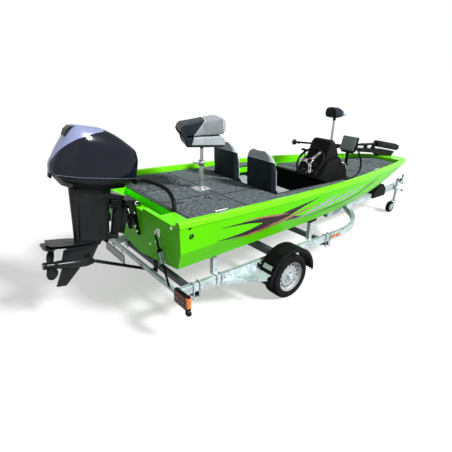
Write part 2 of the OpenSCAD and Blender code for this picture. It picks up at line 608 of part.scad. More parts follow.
module axle() {
  color("dimgray") road() {
    translate([axle_x + 150, 0, frame_top - frame_h - 40]) cube([80, 2 * (frame_y - 3), 80], center = true);
    both() {
      side_plate(frame_y - 4, frame_y + 14, [[axle_x + 190, frame_top - frame_h - 10], [axle_x + 110, frame_top - frame_h - 10],
        [axle_x - 40, tyre_r + 30], [axle_x - 40, tyre_r - 30], [axle_x + 20, tyre_r - 40], [axle_x + 190, frame_top - frame_h - 75]]);
      translate([axle_x, frame_y + 13, tyre_r]) rotate([-90, 0, 0]) cylinder(r = 20, h = 162);
    }
  }
}
// Keel rollers on the cross members, and posts with pads that carry the chines
roller_r = 34;
roller_x = [cross_x0, axle_x + 150, cross_x1];
pad_y = 690;
pad_t = 32;
module rollers_and_pads() {
  color("black") boat() {
    for (x = roller_x) translate([x, 0, -roller_r - fit]) rotate([90, 0, 0]) cylinder(r = roller_r, h = 130, center = true);
    both() for (x = post_xs)
      loft([for (u = [x - 60, x + 60]) [for (q = [[-pad_y + 40, pad_t], [-pad_y - 40, pad_t], [-pad_y - 40, 0], [-pad_y + 40, 0]])
        [u, q[0], bottom_z(u, q[0]) - 2 * fit - q[1]]]]);
  }
}
// Top of a post at its place along the boat, a little under its pad
function post_top(x) = min([for (u = [x - 25, x + 25], y = [-pad_y - 25, -pad_y + 25])
  boat_point([u, y, bottom_z(u, y) - pad_t - 2 * fit])[2]]) - fit;
module support_brackets() {
  color("silver") road() both() {
    for (x = roller_x) let (z0 = frame_top - frame_h, c = boat_point([x, 0, -roller_r - fit]))
      side_plate(66, 71, [[x - 28, z0], [x + 28, z0], [c[0] + 14, c[2] + 14], [c[0] - 14, c[2] + 14]]);
    for (x = post_xs) translate([x - 25, -pad_y - 25, frame_top + fit]) cube([50, 50, post_top(x) - frame_top - fit]);
    step_bracket();
  }
}
// Triangular bracket outside the rail that carries the rear end of a mudguard
step_x0 = 620;
step_z = frame_top - frame_h + 4;
module step_bracket() {
  x1 = axle_x - sqrt(guard_r * guard_r - pow(step_z - tyre_r, 2)) - 8;
  y0 = -frame_y - fit;
  translate([0, 0, step_z]) linear_extrude(5) polygon([[step_x0, y0], [x1, y0], [x1, -wheel_y - 90], [x1 - 60, -wheel_y - 90]]);
  a = atan2(-wheel_y - 90 - y0, x1 - 60 - step_x0);
  l = norm([x1 - 60 - step_x0, -wheel_y - 90 - y0]);
  translate([step_x0, y0 - 6, step_z - 40]) rotate([0, 0, a]) difference() {
    cube([l, 5, 42]);
    for (u = [0.45, 0.56]) translate([u * l, -1, 20]) rotate([-90, 0, 0]) cylinder(r = 11, h = 10);
  }
  translate([step_x0, y0 - 5, step_z - 40]) cube([x1 - step_x0, 5, 42]);
}
module wheel() {
  translate([axle_x, wheel_y, tyre_r]) rotate([-90, 0, 0]) difference() {
    rotate_extrude($fn = 96) polygon([[rim_r, -85], [rim_r + 20, -tyre_w / 2], [tyre_r - 14, -tyre_w / 2], [tyre_r, -tyre_w / 2 + 20],
      [tyre_r, tyre_w / 2 - 20], [tyre_r - 14, tyre_w / 2], [rim_r + 20, tyre_w / 2], [rim_r, 85]]);
  }
}
module rim() {
  translate([axle_x, wheel_y, tyre_r]) rotate([-90, 0, 0]) {
    rotate_extrude($fn = 96) polygon([[rim_r, -85], [rim_r, 85], [rim_r - 12, 85], [rim_r - 16, 45], [rim_r - 30, 20], [80, 38],
      [70, 60], [20 + run, 60], [20 + run, 10], [60, 10], [80, 28], [rim_r - 30, 10], [rim_r - 20, -85]]);
  }
}
module tyre_starboard() { color("black") road() mirror([0, 1, 0]) wheel(); }
module tyre_port() { color("black") road() wheel(); }
module rim_starboard() { color("silver") road() mirror([0, 1, 0]) rim(); }
module rim_port() { color("silver") road() rim(); }
guard_r = 350;
module mudguard() {
  translate([axle_x, wheel_y, tyre_r]) rotate([-90, 0, 0]) rotate_extrude(angle = 180, start = 180, $fn = 96)
    polygon([[guard_r, -105], [guard_r + 5, -105], [guard_r + 5, 105], [guard_r - 30, 112], [guard_r - 30, 107], [guard_r, 100]]);
  for (s = [-1, 1]) translate([axle_x + s * 300 - 30, frame_y + fit, frame_top - 60]) cube([60, wheel_y - 100 - frame_y, 45]);
}
module mudguards() { color("black") road() both() mudguard(); }
// Drawbar, rising forward from under the meeting ends of the side rails
bar_s = 80;
nose_x = bend_end[0] + front_run * cos(bend_a);
pitch = atan((ball_z - (frame_top - frame_h - bar_s / 2)) / (ball_x - nose_x));
bar_len = (ball_x - 262 - nose_x) / cos(pitch);
bar_top = [nose_x + bar_len * cos(pitch), frame_top - frame_h - fit + bar_len * sin(pitch)];
bar_low = bar_top + bar_s * [sin(pitch), -cos(pitch)];
module drawbar() {
  color("silver") road() {
    translate([nose_x, 0, frame_top - frame_h - fit]) rotate([0, -pitch, 0]) difference() {
      translate([-420, -bar_s / 2, -bar_s]) cube([420 + bar_len, bar_s, bar_s]);
      translate([-421, -bar_s / 2 + tube_t, -bar_s + tube_t]) cube([422 + bar_len, bar_s - 2 * tube_t, bar_s - 2 * tube_t]);
    }
    both() side_plate(bar_s / 2 - 1, bar_s / 2 + 8, [[nose_x - 400, frame_top - frame_h - fit], [nose_x - 20, frame_top - frame_h - fit],
      [nose_x - 20, frame_top - frame_h - 60], [nose_x - 400, frame_top - frame_h - 90]]);
  }
}
module coupling() {
  bore = ball_r + 0.2;
  at = [ball_x - fit, ball_z];
  color("silver") road() translate([ball_x, 0, ball_z]) difference() {
    union() {
      translate([0, 0, -14]) cylinder(r = 40, h = 54);
      side_plate(-bar_s / 2, bar_s / 2, [bar_low - at, bar_top - at, [-210, 34], [-150, 34], [-150, 6], [-190, -10], [-210, -62]]);
      translate([-180, -25, 6]) cube([170, 50, 28]);
    }
    translate([0, 0, -14]) cylinder(r = bore, h = socket_l);
    translate([0, 0, socket_l - 14 - 0.01]) cylinder(r1 = bore, r2 = 12, h = 18);
  }
}
socket_l = 26;
// Height of the middle of the drawbar at a place along it
function bar_mid(x) = frame_top - frame_h - bar_s / 2 + (x - nose_x) * tan(pitch);
// Jockey wheel on the starboard side of the drawbar, trailing aft of its tube
jockey_y = -78;
trail = 105;
module jockey_tube() {
  color("silver") road() translate([jockey_x, jockey_y, 0]) {
    translate([0, 0, 215]) cylinder(r = 24, h = 400);
    translate([-30, 18, bar_mid(jockey_x) - 20]) cube([60, -jockey_y - 18 - bar_s / 2 - fit, 50]);
  }
}
module jockey_fork() {
  color("silver") road() translate([jockey_x, jockey_y, 0]) {
    translate([0, 0, 202]) cylinder(r = 27, h = 13 - fit);
    translate([-30, -41, 196]) cube([60, 82, 6]);
    both() side_plate(35, 41, [[30, 200], [-30, 200], [-trail - 18, jockey_r + 6], [-trail - 14, jockey_r - 16], [-trail + 14, jockey_r - 16]]);
    translate([-trail, 41, jockey_r]) rotate([90, 0, 0]) cylinder(r = 8, h = 82);
  }
}
module jockey_wheel() {
  color("black") road() translate([jockey_x - trail, jockey_y, jockey_r]) rotate([90, 0, 0]) difference() {
    cylinder(r = jockey_r, h = 60, center = true);
    cylinder(r = 8 + run, h = 70, center = true);
  }
}
// Moulded rest on the drawbar, under the keel at the bow
rest_x = 4700;
function keel_over(x) = boat_point([x, 0, sz(st(x, 7))])[2] - 4 * fit;
module bow_rest() {
  z = function (x) bar_top[1] - (bar_top[0] - x) * tan(pitch);
  color("black") road() difference() {
    side_plate(-75, 75, [[rest_x - 190, z(rest_x - 190) - 70], [rest_x + 170, z(rest_x + 170) - 90], [rest_x + 190, z(rest_x + 190) + 10],
      [rest_x + 90, keel_over(rest_x + 90)], [rest_x - 70, keel_over(rest_x - 70)], [rest_x - 190, z(rest_x - 190) + 10]]);
    translate([rest_x, 0, z(rest_x)]) rotate([0, -pitch, 0]) translate([-260, -bar_s / 2 - fit, -bar_s - 60])
      cube([520, bar_s + 2 * fit, bar_s + 60 + fit]);
  }
}
module light_board() {
  color("silver") road() {
    translate([rail_x0 - 30, -820, frame_top - 40]) cube([30 - fit, 1640, 50]);
  }
}
module lamps() {
  color("red") road() both() translate([rail_x0 - 80, 800, 400]) cube([50, 230, 145]);
}
boat_hull();
gunwales();
aft_deck();
front_deck();
cockpit_liner();
aft_hatch_starboard();
aft_hatch_port();
bow_hatch();
cleats();
clamp_bracket();
swivel_bracket();
midsection();
lower_cowl();
cowl();
engine();
gearcase();
propeller();
motor_support();
aft_pedestal();
aft_seat_base();
aft_seat_back();
seat_bases();
seat_back_starboard();
seat_back_port();
bow_pedestal();
bow_saddle();
console();
steering_wheel();
console_arm();
fishfinder();
bow_motor_mount();
bow_motor();
frame_starboard();
frame_port();
cross_members();
support_brackets();
rollers_and_pads();
axle();
tyre_starboard();
tyre_port();
rim_starboard();
rim_port();
mudguards();
drawbar();
coupling();
bow_rest();
jockey_tube();
jockey_fork();
jockey_wheel();
light_board();
lamps();
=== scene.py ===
"""Looks of a bass boat on its trailer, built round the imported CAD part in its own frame."""

import logging
import math
from dataclasses import dataclass, field
from enum import Enum
from typing import Callable, Iterable, Sequence

import bmesh
import bpy
from mathutils import Matrix, Vector
from mathutils.bvhtree import BVHTree


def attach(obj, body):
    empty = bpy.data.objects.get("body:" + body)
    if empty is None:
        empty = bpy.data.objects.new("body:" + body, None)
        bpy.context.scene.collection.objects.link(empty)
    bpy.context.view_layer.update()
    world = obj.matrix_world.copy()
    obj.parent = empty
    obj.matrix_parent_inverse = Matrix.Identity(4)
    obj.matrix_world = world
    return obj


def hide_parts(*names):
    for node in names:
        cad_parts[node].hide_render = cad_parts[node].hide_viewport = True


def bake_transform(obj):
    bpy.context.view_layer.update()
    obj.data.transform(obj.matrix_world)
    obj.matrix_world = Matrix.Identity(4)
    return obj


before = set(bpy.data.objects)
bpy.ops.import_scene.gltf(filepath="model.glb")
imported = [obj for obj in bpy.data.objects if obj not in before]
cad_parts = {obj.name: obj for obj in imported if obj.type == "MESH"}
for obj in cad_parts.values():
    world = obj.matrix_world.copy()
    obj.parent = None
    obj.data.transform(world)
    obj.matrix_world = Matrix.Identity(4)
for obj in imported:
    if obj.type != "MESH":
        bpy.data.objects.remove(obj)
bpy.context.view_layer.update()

LOG = logging.getLogger("boat")
Point = Sequence[float]
Piece = bpy.types.Object
ROOT = "boat_and_trailer"


class Side(Enum):
    """Side of the boat, as the sign of its y axis."""

    STARBOARD = -1
    PORT = 1


def shift(x: float, y: float, z: float) -> Matrix:
    """Gives a move by x, y and z."""
    return Matrix.Translation((x, y, z))


def turned(degrees: float, axis: str) -> Matrix:
    """Gives a turn by degrees about an axis, named by its letter."""
    return Matrix.Rotation(math.radians(degrees), 4, axis)


# Frames: the boat from its keel's aft end, the trailer from the ground, the outboard from its tilt axis
TRIM_DEGREES = 1.0
X_MID = 2.355
KEEL_Z = 0.574
BOAT = shift(-X_MID, 0, KEEL_Z) @ turned(TRIM_DEGREES, "Y")
ROAD = shift(-X_MID, 0, 0)
TRANSOM_RAKE = 0.09
TRANSOM_TALL = 0.651
HOOK_Z = 0.558
TILT_X = TRANSOM_RAKE * (1 - HOOK_Z / TRANSOM_TALL) + 0.008
TILT_Z = 0.600
REST_TILT = 9
MOTOR = BOAT @ shift(TILT_X, 0, TILT_Z) @ turned(REST_TILT, "Y")

# Shared places
AFT_DECK_Z = 0.588
FRONT_DECK_Z = 0.520
HELM_SEAT_Y = -0.310
MATE_SEAT_Y = 0.340
AFT_POST_X = 0.880
BOW_POST_X = 3.190
AFT_SEAT_Z = 1.088
BOW_SADDLE_Z = 1.2503
CONSOLE_Y = -0.360
WHEEL_X = 1.443
WHEEL_Y = 0.895
WHEEL_Z = 0.2623
PROPELLER_X = -0.7023
PROPELLER_Z = -0.622
SIDES = (-1, 1)
OUTSIDE_Y = 1.3
BEHIND_X = -0.4


def wheel_place(side: int) -> Matrix:
    """Gives the frame of a road wheel, with z outwards along the axle, from the sign of its side."""
    return ROAD @ shift(WHEEL_X, side * WHEEL_Y, WHEEL_Z) @ turned(-90 * side, "X")


def facing(at: Point, way: Point) -> Matrix:
    """Gives a frame at a point, with z along a direction."""
    return Matrix.Translation(at) @ Vector(way).to_track_quat("Z", "Y").to_matrix().to_4x4()


# Finishes
class NodeBuilder:
    """Adds shader nodes to one material and links them."""

    def __init__(self, name: str) -> None:
        """Makes a material with a bare Principled shader.

        Args:
            name: Name of the material.
        """
        self.material = bpy.data.materials.new(name)
        self.material.use_nodes = True
        self.tree = self.material.node_tree
        self.shader = self.tree.nodes["Principled BSDF"]
        self.coords = self.tree.nodes.new("ShaderNodeTexCoord").outputs["Object"]

    def node(self, kind: str, **values: object) -> bpy.types.Node:
        """Adds a node and sets its sockets by name.

        Args:
            kind: Class name of the node without its ShaderNode prefix.
            values: Socket names with underscores for spaces, and their values.

        Returns:
            The new node.
        """
        made = self.tree.nodes.new("ShaderNode" + kind)
        for key, value in values.items():
            made.inputs[key.replace("_", " ")].default_value = value
        return made

    def link(self, a: bpy.types.NodeSocket, b: bpy.types.NodeSocket) -> None:
        """Links an output socket to an input socket."""
        self.tree.links.new(a, b)

    def set(self, **values: object) -> None:
        """Sets constant values on the main shader's sockets."""
        for key, value in values.items():
            self.shader.inputs[key.replace("_", " ")].default_value = value

    def ramp(self, source: bpy.types.NodeSocket,
             stops: Sequence[tuple[float, tuple]]) -> bpy.types.NodeSocket:
        """Maps a value to a colour.

        Args:
            source: The value's socket.
            stops: Pairs of a position and a colour.

        Returns:
            The colour's socket.
        """
        made = self.tree.nodes.new("ShaderNodeValToRGB")
        while len(made.color_ramp.elements) < len(stops):
            made.color_ramp.elements.new(0.5)
        for element, (place, colour) in zip(made.color_ramp.elements, stops):
            element.position = place
            element.color = (*colour, 1)
        self.link(source, made.inputs["Fac"])
        return made.outputs["Color"]

    def bump(self, height: bpy.types.NodeSocket, strength: float, distance: float) -> None:
        """Roughens the surface by a height."""
        made = self.node("Bump", Strength=strength, Distance=distance)
        self.link(height, made.inputs["Height"])
        self.link(made.outputs["Normal"], self.shader.inputs["Normal"])

    def noise(self, scale: float, detail: float = 3) -> bpy.types.NodeSocket:
        """Adds noise over the object's coordinates and gives its value."""
        made = self.node("TexNoise", Scale=scale, Detail=detail)
        self.link(self.coords, made.inputs["Vector"])
        return made.outputs["Fac"]


@dataclass(frozen=True)
class Finish:
    """A finish whose colour varies a little and whose surface has a fine grain."""

    name: str
    colour: tuple[float, float, float]
    rough: float = 0.4
    metal: float = 0.0
    coat: float = 0.0
    vary: float = 0.12
    vary_scale: float = 6.0
    grain: float = 0.05
    grain_scale: float = 400.0
    grain_depth: float = 0.0005
    spec: float = 0.3

    def shades(self) -> tuple[tuple, tuple]:
        """Gives the darker and the lighter colour that the finish runs between."""
        low = tuple(c * (1 - self.vary) for c in self.colour)
        high = tuple(min(1, c * (1 + self.vary)) for c in self.colour)
        return low, high

    def build(self) -> bpy.types.Material:
        """Makes the material once and gives it back.

        Returns:
            The material of that name.
        """
        label = f"finish_{self.name}"
        found = bpy.data.materials.get(label)
        if found:
            return found
        nodes = NodeBuilder(label)
        self.dress(nodes)
        return nodes.material

    def dress(self, nodes: NodeBuilder) -> None:
        """Sets the shader of the material.

        Args:
            nodes: Builder of the material.
        """
        low, high = self.shades()
        cloud = nodes.noise(self.vary_scale, 4)
        nodes.link(nodes.ramp(cloud, ((0.35, low), (0.65, high))), nodes.shader.inputs["Base Color"])
        rough = nodes.ramp(cloud, ((0.3, (self.rough * 0.85,) * 3), (0.7, (min(1, self.rough * 1.15),) * 3)))
        nodes.link(rough, nodes.shader.inputs["Roughness"])
        nodes.set(Metallic=self.metal, Coat_Weight=self.coat, Coat_Roughness=0.06,
                  Specular_IOR_Level=self.spec)
        nodes.bump(nodes.noise(self.grain_scale), self.grain, self.grain_depth)


@dataclass(frozen=True)
class Carpet(Finish):
    """Short marine carpet: light and dark fibres under a soft pile."""

    def dress(self, nodes: NodeBuilder) -> None:
        """Mixes two sizes of speckle into the colour and the height."""
        low, high = self.shades()
        fine = nodes.noise(260, 2)
        broad = nodes.noise(28, 6)
        total = nodes.node("Math")
        total.operation = "ADD"
        nodes.link(fine, total.inputs[0])
        nodes.link(broad, total.inputs[1])
        half = nodes.node("Math")
        half.operation = "MULTIPLY"
        half.inputs[1].default_value = 0.5
        nodes.link(total.outputs[0], half.inputs[0])
        nodes.link(nodes.ramp(half.outputs[0], ((0.38, low), (0.62, high))),
                   nodes.shader.inputs["Base Color"])
        nodes.set(Roughness=0.95, Sheen_Weight=0.1, Specular_IOR_Level=0.05)
        nodes.bump(fine, 0.6, 0.003)


@dataclass(frozen=True)
class Galvanised(Finish):
    """Hot-dipped zinc with its spangle."""

    def dress(self, nodes: NodeBuilder) -> None:
        """Lays cells of zinc crystal over a cloudy grey."""
        low, high = self.shades()
        cells = nodes.node("TexVoronoi", Scale=90.0)
        nodes.link(nodes.coords, cells.inputs["Vector"])
        spangle = nodes.node("SeparateColor")
        nodes.link(cells.outputs["Color"], spangle.inputs["Color"])
        mixed = nodes.node("Math")
        mixed.operation = "MULTIPLY_ADD"
        mixed.inputs[1].default_value = 0.35
        nodes.link(spangle.outputs[0], mixed.inputs[0])
        nodes.link(nodes.noise(9, 5), mixed.inputs[2])
        nodes.link(nodes.ramp(mixed.outputs[0], ((0.45, low), (0.9, high))),
                   nodes.shader.inputs["Base Color"])
        rough = nodes.ramp(mixed.outputs[0], ((0.45, (self.rough,) * 3), (0.9, (self.rough + 0.2,) * 3)))
        nodes.link(rough, nodes.shader.inputs["Roughness"])
        nodes.set(Metallic=self.metal)
        nodes.bump(nodes.noise(60), 0.08, 0.001)


GREEN = Finish("green_gloss", (0.150, 0.88, 0.003), 0.32, coat=0.04, vary=0.03, vary_scale=2, grain=0.03,
               spec=0.05)
RAIL_GREEN = Finish("rail_green", (0.21, 0.90, 0.010), 0.3, coat=0.1, vary=0.03, vary_scale=2, grain=0.03,
                    spec=0.08)
DECK_CARPET = Carpet("deck_carpet", (0.105, 0.130, 0.140), 0.95, vary=0.8)
DARK_CARPET = Carpet("dark_carpet", (0.004, 0.004, 0.005), 0.95, vary=0.4)
COWL_NAVY = Finish("cowl_navy", (0.004, 0.006, 0.014), 0.16, coat=0.3, vary=0.1, grain=0.01, spec=0.12)
COWL_SILVER = Finish("cowl_silver", (0.30, 0.34, 0.56), 0.28, 0.4, coat=0.2, vary=0.08, grain=0.02, spec=0.3)
BLACK_GLOSS = Finish("black_gloss", (0.011, 0.012, 0.013), 0.25, coat=0.1, vary=0.2, grain=0.03, spec=0.12)
BLACK_PAINT = Finish("black_paint", (0.013, 0.014, 0.015), 0.42, vary=0.25, grain=0.08, spec=0.08)
BLACK_PLASTIC = Finish("black_plastic", (0.010, 0.010, 0.011), 0.5, vary=0.25, grain=0.15, spec=0.06)
GREY_PLASTIC = Finish("grey_plastic", (0.33, 0.38, 0.40), 0.5, vary=0.1, grain=0.1)
ZINC = Galvanised("zinc", (0.52, 0.60, 0.63), 0.4, 0.4, vary=0.28)
DARK_ZINC = Galvanised("dark_zinc", (0.075, 0.09, 0.10), 0.45, 0.3, vary=0.3, spec=0.1)
ALUMINIUM = Finish("aluminium", (0.50, 0.52, 0.54), 0.32, 0.8, vary=0.08, vary_scale=30, grain=0.05)
CHROME = Finish("chrome", (0.62, 0.64, 0.66), 0.12, 1.0, vary=0.05, grain=0.01)
RUBBER = Finish("rubber", (0.008, 0.008, 0.009), 0.75, vary=0.3, grain=0.25, grain_scale=250, spec=0.03)
RIM_PAINT = Finish("rim_silver", (0.42, 0.45, 0.465), 0.38, 0.3, coat=0.04, vary=0.08)
LENS_RED = Finish("lens_red", (0.16, 0.004, 0.012), 0.15, coat=0.25, vary=0.15, vary_scale=20, spec=0.2)
LENS_AMBER = Finish("lens_amber", (0.95, 0.20, 0.015), 0.15, coat=0.25, vary=0.1, vary_scale=20, spec=0.2)
VINYL_DARK = Finish("vinyl_dark", (0.020, 0.027, 0.036), 0.5, vary=0.2, grain=0.3, grain_scale=320, spec=0.1)
VINYL_LIGHT = Finish("vinyl_light", (0.52, 0.57, 0.61), 0.45, vary=0.08, grain=0.3, grain_scale=320)
VINYL_GREY = Finish("vinyl_grey", (0.33, 0.36, 0.385), 0.45, vary=0.1, grain=0.3, grain_scale=320)
TYRE = Finish("tyre_rubber", (0.015, 0.015, 0.016), 0.8, vary=0.3, grain=0.3, grain_scale=220, spec=0.03)
HOSE = Finish("hose_black", (0.006, 0.006, 0.007), 0.42, vary=0.2, grain=0.2, grain_scale=180, spec=0.1)
WEBBING = Finish("webbing", (0.007, 0.007, 0.008), 0.85, vary=0.3, vary_scale=90, grain=0.8,
                 grain_scale=500, spec=0.03)
BRASS = Finish("brass", (0.62, 0.42, 0.15), 0.3, 0.9, vary=0.1, grain=0.05)
LENS_DEEP = Finish("lens_deep", (0.05, 0.001, 0.004), 0.15, coat=0.2, vary=0.15, vary_scale=20, spec=0.2)
DISPLAY = Finish("display_glass", (0.006, 0.008, 0.010), 0.08, coat=0.3, vary=0.05, grain=0.01, spec=0.2)
STICKER_DARK = Finish("sticker_dark", (0.020, 0.004, 0.018), 0.25, coat=0.1, vary=0.3, vary_scale=8,
                      spec=0.12)
STICKER_TAN = Finish("sticker_tan", (0.46, 0.22, 0.13), 0.25, coat=0.1, vary=0.2, vary_scale=10, spec=0.12)
STICKER_GREY = Finish("sticker_grey", (0.42, 0.50, 0.50), 0.25, coat=0.1, vary=0.12, vary_scale=10, spec=0.12)
WHITE_TRIM = Finish("white_trim", (0.80, 0.82, 0.84), 0.4, vary=0.04, grain=0.05)
CAST_IRON = Finish("cast_iron", (0.05, 0.05, 0.055), 0.6, 0.3, vary=0.3, grain=0.3)


# Mesh tools
def mesh_object(name: str, verts: Iterable[Point], faces: Iterable[Sequence[int]], finish: Finish,
                place: Matrix = Matrix.Identity(4), smooth: bool = True) -> Piece:
    """Makes a mesh object in the row frame.

    Args:
        name: Name of the object.
        verts: Points in the frame that place maps from.
        faces: Lists of vertex numbers.
        finish: Finish of the surface.
        place: Map from the points' frame to the row frame.
        smooth: Whether the faces shade smoothly.

    Returns:
        The new object, linked to the scene.
    """
    mesh = bpy.data.meshes.new(name)
    mesh.from_pydata([place @ Vector(v) for v in verts], [], [list(f) for f in faces])
    mesh.validate()
    mesh.shade_smooth() if smooth else mesh.shade_flat()
    made = bpy.data.objects.new(name, mesh)
    made.data.materials.append(finish.build())
    bpy.context.scene.collection.objects.link(made)
    return made


def soften(piece: Piece, width: float = 0.002, angle: float = 30, segments: int = 2) -> Piece:
    """Rounds the edges of a piece and keeps its flat faces flat.

    Args:
        piece: The object.
        width: Width of the rounding in metres.
        angle: Edges bent by more degrees than this are rounded.
        segments: Steps across the rounding.

    Returns:
        The same object.
    """
    weld = piece.modifiers.new("weld", "WELD")
    weld.merge_threshold = 0.00005
    bevel = piece.modifiers.new("bevel", "BEVEL")
    bevel.width = width
    bevel.segments = segments
    bevel.limit_method = "ANGLE"
    bevel.angle_limit = math.radians(angle)
    bevel.use_clamp_overlap = True
    bevel.harden_normals = True
    return piece


def lathe(name: str, profile: Sequence[tuple[float, float]], finish: Finish, place: Matrix, steps: int = 48,
          close: bool = False) -> Piece:
    """Turns a profile of radius and height about the z axis of a frame.

    Args:
        name: Name of the object.
        profile: Pairs of radius and height.
        finish: Finish of the surface.
        place: Map from the turning frame to the row frame.
        steps: Faces around.
        close: Whether the last point joins the first.

    Returns:
        The new object.
    """
    verts, faces, n = [], [], len(profile)
    for k in range(steps):
        a = 2 * math.pi * k / steps
        verts += [(r * math.cos(a), r * math.sin(a), h) for r, h in profile]
    for k in range(steps):
        for i in range(n if close else n - 1):
            j = (i + 1) % n
            b, c = k * n, ((k + 1) % steps) * n
            faces.append((b + i, c + i, c + j, b + j))
    made = mesh_object(name, verts, faces, finish, place)
    tidy_mesh(made)
    return made


def tidy_mesh(piece: Piece) -> None:
    """Merges doubled points and turns the faces outwards."""
    fix = bmesh.new()
    fix.from_mesh(piece.data)
    bmesh.ops.remove_doubles(fix, verts=fix.verts, dist=0.000002)
    bmesh.ops.recalc_face_normals(fix, faces=fix.faces)
    fix.to_mesh(piece.data)
    fix.free()


def tube(name: str, points: Sequence[Point], radius: float, finish: Finish,
         place: Matrix = Matrix.Identity(4), sides: int = 12, steps: int = 6) -> Piece:
    """Sweeps a round section along a smooth line through points.

    Args:
        name: Name of the object.
        points: Points that the middle line passes.
        radius: Radius of the section.
        finish: Finish of the surface.
        place: Map from the points' frame to the row frame.
        sides: Faces around.
        steps: Pieces between two points.

    Returns:
        The new object.
    """
    pts = [Vector(p) for p in points]
    line = smooth_line(pts, steps) if steps > 1 and len(pts) > 2 else pts
    verts, faces = [], []
    up = Vector((0, 0, 1))
    for i, p in enumerate(line):
        d = (line[min(i + 1, len(line) - 1)] - line[max(i - 1, 0)]).normalized()
        if i == 0:
            up = Vector((0, 0, 1)) if abs(d.z) < 0.9 else Vector((1, 0, 0))
        u = (up - d * up.dot(d)).normalized()
        up = u
        w = d.cross(u)
        for k in range(sides):
            a = 2 * math.pi * k / sides
            verts.append(p + u * radius * math.cos(a) + w * radius * math.sin(a))
    for i in range(len(line) - 1):
        for k in range(sides):
            a, b = i * sides + k, i * sides + (k + 1) % sides
            faces.append((a, b, b + sides, a + sides))
    faces.append(tuple(reversed(range(sides))))
    faces.append(tuple(range(len(verts) - sides, len(verts))))
    return mesh_object(name, verts, faces, finish, place)


def smooth_line(pts: Sequence[Vector], steps: int) -> list[Vector]:
    """Runs a smooth curve through points, with a number of pieces between each two.

    Args:
        pts: The points.
        steps: Pieces between two points.

    Returns:
        The points of the curve.
    """
    out: list[Vector] = []
    for i in range(len(pts) - 1):
        a, b = pts[max(i - 1, 0)], pts[i]
        c, d = pts[i + 1], pts[min(i + 2, len(pts) - 1)]
        for k in range(steps):
            t = k / steps
            out.append(0.5 * (2 * b + (c - a) * t + (2 * a - 5 * b + 4 * c - d) * t * t
                              + (3 * b - a - 3 * c + d) * t ** 3))
    return out + [pts[-1]]


def prism(name: str, outline: Sequence[tuple[float, float]], lo: float, hi: float, finish: Finish,
          place: Matrix, axis: str = "z", bevel: float = 0.002) -> Piece:
    """Makes a solid from an outline pulled along an axis.

    Args:
        name: Name of the object.
        outline: Points of the outline.
        lo: Start along the axis.
        hi: End along the axis.
        finish: Finish of the surface.
        place: Map from the outline's frame to the row frame.
        axis: Axis letter; for y the outline is in x and z, for x in y and z.
        bevel: Width of the rounded edges.

    Returns:
        The new object.
    """
    order: Callable[[float, float, float], Point] = {
        "z": lambda a, b, h: (a, b, h), "y": lambda a, b, h: (a, h, b), "x": lambda a, b, h: (h, a, b)}[axis]
    n = len(outline)
    verts = [order(a, b, lo) for a, b in outline] + [order(a, b, hi) for a, b in outline]
    faces = [tuple(reversed(range(n))), tuple(range(n, 2 * n))]
    faces += [(i, (i + 1) % n, n + (i + 1) % n, n + i) for i in range(n)]
    made = mesh_object(name, verts, faces, finish, place)
    tidy_mesh(made)
    return soften(made, bevel)


def block(name: str, middle: Point, size: Point, finish: Finish, place: Matrix,
          bevel: float = 0.002) -> Piece:
    """Makes a box with rounded edges from its middle and size."""
    x, y, z = (s / 2 for s in size)
    outline = [(middle[0] - x, middle[1] - y), (middle[0] + x, middle[1] - y),
               (middle[0] + x, middle[1] + y), (middle[0] - x, middle[1] + y)]
    return prism(name, outline, middle[2] - z, middle[2] + z, finish, place, "z", bevel)


def join(name: str, pieces: Sequence[Piece]) -> Piece:
    """Joins pieces into one object, with their modifiers applied.

    Args:
        name: Name of the joined object.
        pieces: Objects to join.

    Returns:
        The joined object.
    """
    depsgraph = bpy.context.evaluated_depsgraph_get()
    whole = bmesh.new()
    materials: list[bpy.types.Material] = []
    for piece in pieces:
        data = bpy.data.meshes.new_from_object(piece.evaluated_get(depsgraph))
        data.transform(piece.matrix_world)
        start = len(materials)
        materials += [m for m in piece.data.materials]
        first = len(whole.faces)
        whole.from_mesh(data)
        whole.faces.ensure_lookup_table()
        for face in whole.faces[first:]:
            face.material_index = start + min(face.material_index, len(piece.data.materials) - 1)
        bpy.data.meshes.remove(data)
    unique = list(dict.fromkeys(materials))
    for face in whole.faces:
        face.material_index = unique.index(materials[face.material_index])
    mesh = bpy.data.meshes.new(name)
    whole.to_mesh(mesh)
    whole.free()
    for material in unique:
        mesh.materials.append(material)
    for piece in list(pieces):
        bpy.data.objects.remove(piece)
    made = bpy.data.objects.new(name, mesh)
    bpy.context.scene.collection.objects.link(made)
    return made


def bolt(at: Point, way: Point, radius: float, place: Matrix, finish: Finish) -> Piece:
    """Makes a hexagon bolt head with its washer.

    Args:
        at: Middle of its foot.
        way: Direction of its axis.
        radius: Radius of the head.
        place: Frame of the point.
        finish: Its finish.

    Returns:
        The new piece.
    """
    washer_wide, washer_tall = radius * 1.35, 0.0018
    head_tall = radius * 0.95
    local = place @ facing(at, way)
    washer = lathe("washer", ((0, 0), (washer_wide, 0), (washer_wide, washer_tall), (0, washer_tall)),
                   finish, local, 20)
    head = lathe("head",
                 ((0, washer_tall), (radius, washer_tall), (radius, radius * 0.75),
                  (radius * 0.8, head_tall), (0, head_tall)), finish, local, 6)
    head.data.shade_flat()
    return join("bolt", [washer, head])


# CAD nodes
@dataclass(frozen=True)
class NodeLook:
    """Finish and edge rounding of one CAD node."""

    finish: Finish
    edge: float = 0.002
    angle: float = 30


